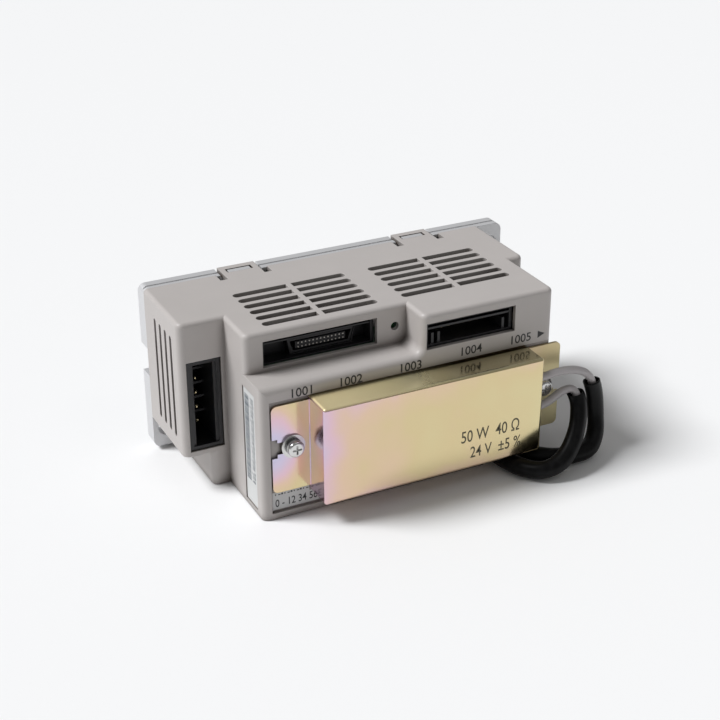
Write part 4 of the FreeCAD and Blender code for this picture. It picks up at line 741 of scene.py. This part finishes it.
@dataclass
class Lead:
    """One insulated lead from the resistor to the plug, and the loose sleeve over it."""

    name: str
    route: list[tuple[float, float, float]]
    length: float
    sleeve_share: tuple[float, float]
    carried: tuple[str, ...] = ()
    diameter: float = 2.7 * MM
    half_width: float = 3.35 * MM
    half_thickness: float = 2.2 * MM
    round_radius: float = 2.95 * MM
    rounded_by: float = 0.45
    flares: tuple[float, float] = (0.06, 0.04)
    flare_fall: float = 22.0
    ridge_height: float = 0.06
    ridge_angle: float = 4.4
    ridge_spread: float = 0.20
    level_share: float = 0.07
    wall: float = 0.45 * MM
    sides: int = 40
    wide_start: tuple[float, float, float] = (0.93, 0.36, 0.0)

    def curve(self, name: str) -> bpy.types.Object:
        """A smooth spline whose control points are the route."""
        data = bpy.data.curves.new(name, "CURVE")
        data.dimensions = "3D"
        spline = data.splines.new("NURBS")
        spline.points.add(len(self.route) - 1)
        for point, (x, y, z) in zip(spline.points, self.route):
            point.co = (x * MM, y * MM, z * MM, 1.0)
        spline.order_u = 3
        spline.use_endpoint_u = True
        data.resolution_u = 12
        piece = bpy.data.objects.new(name, data)
        bpy.context.scene.collection.objects.link(piece)
        return piece

    def line(self) -> list[Vector]:
        """Points along the spline, in order."""
        thin = self.curve(self.name + "_path")
        bpy.context.view_layer.update()
        data = bpy.data.meshes.new_from_object(thin.evaluated_get(bpy.context.evaluated_depsgraph_get()))
        points = [v.co.copy() for v in data.vertices]
        bpy.data.objects.remove(thin)
        bpy.data.meshes.remove(data)
        return points

    def ring(self, share: float, angle: float) -> tuple[float, float]:
        """The sleeve's outline: flattened at its top, with a crease down one side.

        Args:
            share: How far along the sleeve the section is, from 0 to 1.
            angle: Angle round the section.

        Returns:
            The offsets along the wide and the narrow direction.
        """
        rounder = min(1.0, share / self.rounded_by)
        top, foot = self.flares
        flare = 1.0 + top * math.exp(-share * self.flare_fall) + foot * math.exp(-(1 - share) * self.flare_fall)
        waist = 1.0 + 0.02 * math.sin(share * 19.0) + 0.01 * math.sin(share * 43.0 + 1.0)
        crease = math.exp(-((angle - self.ridge_angle) / self.ridge_spread) ** 2)
        ridge = self.ridge_height * crease * (1.0 - rounder)
        wide = (self.half_width + (self.round_radius - self.half_width) * rounder) * flare * waist
        thick = (self.half_thickness + (self.round_radius - self.half_thickness) * rounder) * flare * waist
        return wide * math.cos(angle), thick * (1.0 + ridge) * math.sin(angle)

    def frames(self, stations: list[tuple[Vector, Vector]]) -> list[tuple[Vector, Vector, Vector]]:
        """Carry the wide direction along the sleeve without turning it, from a level cut at its top.

        Args:
            stations: Points along the lead with their directions.

        Returns:
            The centre and the two section directions at each point.
        """
        side, made = Vector(self.wide_start).normalized(), []
        for number, (centre, tangent) in enumerate(stations):
            share = number / (len(stations) - 1)
            hang = math.exp(-(share / self.level_share) ** 2)
            square = tangent.lerp(Vector((0.0, 0.0, -1.0)), hang).normalized()
            side = (side - square * side.dot(square)).normalized()
            made.append((centre, side, square.cross(side)))
        return made

    def stations(self, points: list[Vector]) -> list[tuple[Vector, Vector]]:
        """The points of the lead that the sleeve covers, with their directions."""
        steps = [(b - a).length for a, b in zip(points, points[1:])]
        first, last = (sum(steps) * share for share in self.sleeve_share)
        covered, reach = [], 0.0
        for a, b, step in zip(points, points[1:], steps):
            if first <= reach <= last:
                covered.append((a, (b - a).normalized()))
            reach += step
        return covered

    def sleeve(self, points: list[Vector]) -> bpy.types.Object:
        """The open sleeve as a swept wall with rolled ends.

        Args:
            points: Points along the lead.

        Returns:
            The sleeve object.
        """
        frames = self.frames(self.stations(points))
        last, shape = len(frames) - 1, bmesh.new()
        rings: list[list[bmesh.types.BMVert]] = []
        outside, inside = [(k, True) for k in range(last + 1)], [(k, False) for k in range(last, -1, -1)]
        for k, outer in outside + inside:
            centre, side, other = frames[k]
            ring = []
            for n in range(self.sides):
                u, v = self.ring(k / last, 2 * math.pi * n / self.sides)
                shrink = 1.0 if outer else 1.0 - self.wall / math.hypot(u, v)
                ring.append(shape.verts.new(centre + (side * u + other * v) * shrink))
            rings.append(ring)
        for a, b in zip(rings, rings[1:] + rings[:1]):
            for n in range(self.sides):
                m = (n + 1) % self.sides
                shape.faces.new((a[n], a[m], b[m], b[n]))
        return mesh_piece(self.name + "_cover_sleeve", shape, smooth=True)

    def build(self) -> None:
        cord = self.curve(self.name + "_wire")
        cord.data.bevel_depth = self.diameter / 2
        cord.data.bevel_resolution = 6
        cord.data.use_fill_caps = True
        settle(cord, LEAD)
        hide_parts(self.name + "_lead")
        sleeve = self.sleeve(self.line())
        settle(sleeve, SLEEVE)
        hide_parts(self.name + "_sleeve")


@dataclass
class Leads:
    """Both leads, their plug and the header it seats on."""

    def build(self) -> None:
        """Make the leads and dress the plug."""
        Lead("upper", UPPER_ROUTE, 90.7 * MM, (0.28, 0.91), carried=("lead_plug",)).build()
        Lead("lower", LOWER_ROUTE, 81.0 * MM, (0.215, 0.88)).build()
        dress(NYLON, "lead_plug", "plug_header")


# ------------------------------------------------------------------ housing

@dataclass
class Housing:
    """The moulded cover, the back plate and the marks printed on the front block."""

    mark_height: float = 3.0 * MM
    mark_places: tuple[tuple[str, float, float], ...] = (
        ("1001", 24.6, 40.8), ("1002", 40.8, 40.8), ("1003", 61.4, 40.9), ("1004", 82.8, 41.9), ("1005", 101.0, 41.9))
    arrow_place: tuple[float, float] = (111.6, 42.1)
    arrow_height: float = 2.5 * MM
    arrow_length: float = 2.625 * MM
    arrow_thickness: float = 0.03 * MM

    def build(self) -> None:
        """Dress the cover and the plate, and print the marks."""
        dress(PLASTIC, "cover")
        dress(ALUMINIUM, "back_plate")
        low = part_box("cover")[0]
        for number, (words, x, z) in enumerate(self.mark_places, 1):
            origin = Vector((low[0] + x * MM, low[1], z * MM))
            mark = PrintedLine(words, self.mark_height, origin, 1.0).build(f"mark_{number}")
            settle(mark, INK)
        x, z = self.arrow_place
        self.arrow(Vector((low[0] + x * MM, low[1], z * MM)))

    def arrow(self, corner: Vector) -> None:
        """A solid arrowhead that points right, towards the side connector."""
        shape, side = bmesh.new(), self.arrow_height
        flat = [corner, corner + UPWARD * side, corner + RIGHTWARD * self.arrow_length + UPWARD * (side / 2)]
        depth = Vector((0, -self.arrow_thickness, 0))
        front = [shape.verts.new(p + depth) for p in flat]
        back = [shape.verts.new(p) for p in flat]
        shape.faces.new(front)
        shape.faces.new(reversed(back))
        for n in range(3):
            m = (n + 1) % 3
            shape.faces.new((front[n], back[n], back[m], front[m]))
        settle(mesh_piece("mark_arrow", shape), INK)


# ------------------------------------------------------------------ resistor

@dataclass
class Resistor:
    """The sheet-cased braking resistor with its screws and printed rating."""

    lines: tuple[tuple[str, float, float, float], ...] = (
        ("50 W  40 Ω", 47.1, 9.9, 4.3), ("24 V  ±5 %", 50.6, 3.9, 4.1))
    squeeze: float = 0.74
    ink_thickness: float = 0.01 * MM

    def build(self) -> None:
        """Dress the case and its hardware, and print the rating."""
        dress(PASSIVATED, "resistor_case")
        dress(CERAMIC, "resistor_core")
        dress(ZINC, "flat_washers", "resistor_screws")
        dress(SPRING, "spring_washers")
        dress(BRASS, "threaded_inserts")
        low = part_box("resistor_case")[0]
        for number, (words, x, z, height) in enumerate(self.lines, 1):
            origin = Vector((CASE_FACE.left() + x * MM, low[1], low[2] + z * MM))
            line = PrintedLine(words, height * MM, origin, self.squeeze, self.ink_thickness)
            settle(line.build(f"rating_print_{number}"), SHEET_INK)


# ------------------------------------------------------------------ connectors

@dataclass
class Connectors:
    """The four connectors and the status lamp."""

    def build(self) -> None:
        """Dress the bodies, the shells and the contacts."""
        dress(BLACK, "power_connector_body", "signal_connector_body", "wide_connector_body", "side_connector_body")
        dress(CONTACT, "power_connector_pins", "wide_connector_pins", "side_connector_pins")
        dress(TIN, "signal_connector_contacts")
        dress(SHELL, "signal_connector_shell")
        dress(LENS, "status_light")


# ------------------------------------------------------------------ labels

@dataclass
class Labels:
    """The paper label under the flange and the bar label on the block's side."""

    ink_height: float = 0.02 * MM
    figures: str = "0 - 12 34 56"
    figure_height: float = 2.7 * MM
    figure_squeeze: float = 0.78
    margin: float = 0.9 * MM
    foot_margin: float = 1.0 * MM
    cut_marks: int = 11
    cut_pitch: float = 1.05 * MM
    cut_drop: float = 1.1 * MM
    bar_margins: tuple[float, float] = (1.8 * MM, 8.0 * MM)
    bar_span: tuple[float, float] = (0.55, 0.93)
    bars_thick: tuple[float, ...] = (0.32, 0.58, 0.30, 0.45, 0.78, 0.30, 0.52)
    bar_gaps: tuple[float, ...] = (0.30, 0.22, 0.40)
    tick_reach: tuple[float, ...] = (0.30, 0.18, 0.27, 0.14, 0.31, 0.22)
    tick_starts: tuple[float, ...] = (0.12, 0.18, 0.15)
    tick_thick: float = 0.28 * MM
    dot_drop: float = 0.75 * MM
    dot_width: float = 0.35 * MM

    def build(self) -> None:
        """Dress the paper and print plain bars and figures on it."""
        dress(PAPER, "rating_label", "code_label")
        self.bars()
        low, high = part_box("rating_label")
        origin = Vector((low[0] + self.margin, low[1], low[2] + self.foot_margin))
        figures = PrintedLine(self.figures, self.figure_height, origin, self.figure_squeeze, self.ink_height / 2)
        settle(figures.build("label_figures"), INK)
        self.cut_line(low, high)

    def cut_line(self, low: Sequence[float], high: Sequence[float]) -> None:
        """The feet of a second line, most of which the flange covers.

        Args:
            low: Lowest corner of the label.
            high: Highest corner of the label.
        """
        shape, foot = bmesh.new(), high[2] - self.cut_drop
        for step in range(self.cut_marks):
            x = low[0] + self.margin + self.cut_pitch * step
            tall, wide = (0.5, 0.3, 0.6)[step % 3] * MM, (0.35, 0.8, 0.6)[step % 3] * MM
            add_plate(shape, (x, low[1] - self.ink_height / 2, foot), (x + wide, low[1], foot + tall))
        settle(mesh_piece("label_cut_line", shape), INK)

    def bars(self) -> None:
        """A column of bars and a column of fine ticks on the narrow label."""
        low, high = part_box("code_label")
        face, wide = low[0] - self.ink_height, high[1] - low[1]
        near, far = (low[1] + share * wide for share in self.bar_span)
        code, ticks = bmesh.new(), bmesh.new()
        top_margin, foot_margin = self.bar_margins
        z, step = high[2] - top_margin, 0
        while z > low[2] + foot_margin:
            thick = self.bars_thick[step % len(self.bars_thick)] * MM
            add_plate(code, (face, near, z - thick), (low[0], far, z))
            start = low[1] + self.tick_starts[step % len(self.tick_starts)] * wide
            reach = self.tick_reach[step % len(self.tick_reach)] * wide
            add_plate(ticks, (face, start, z - self.tick_thick), (low[0], start + reach, z))
            if step % 2:
                add_plate(ticks, (face, start, z - self.dot_drop), (low[0], start + self.dot_width, z))
            z -= thick + self.bar_gaps[step % len(self.bar_gaps)] * MM
            step += 1
        settle(mesh_piece("label_bars", code), BAR_INK)
        settle(mesh_piece("label_ticks", ticks), BAR_INK)


# ------------------------------------------------------------------ inside

@dataclass
class Inside:
    """Boards and the parts on them, seen through the slots."""

    def build(self) -> None:
        """Dress everything under the cover."""
        dress(LACQUER, "power_board", "control_board")
        dress(BRASS, "board_standoffs")
        dress(ZINC, "board_screws", "control_screws")
        dress(EPOXY, "power_module", "control_chips")
        dress(SILICONE, "thermal_pad")
        dress(FILM, "bus_capacitors")
        dress(FERRITE, "filter_choke", "transformer_core")
        dress(TAPE, "transformer_coil")
        dress(BLACK, "link_header", "link_socket")


def main() -> None:
    """Build every sub-assembly in order."""
    logging.basicConfig(level=logging.INFO, format="%(name)s: %(message)s")
    for assembly in (Studio(), Leads(), Housing(), Resistor(), Connectors(), Labels(), Inside()):
        assembly.build()
        LOG.info("built %s", type(assembly).__name__)


if __name__ == "__main__":
    main()
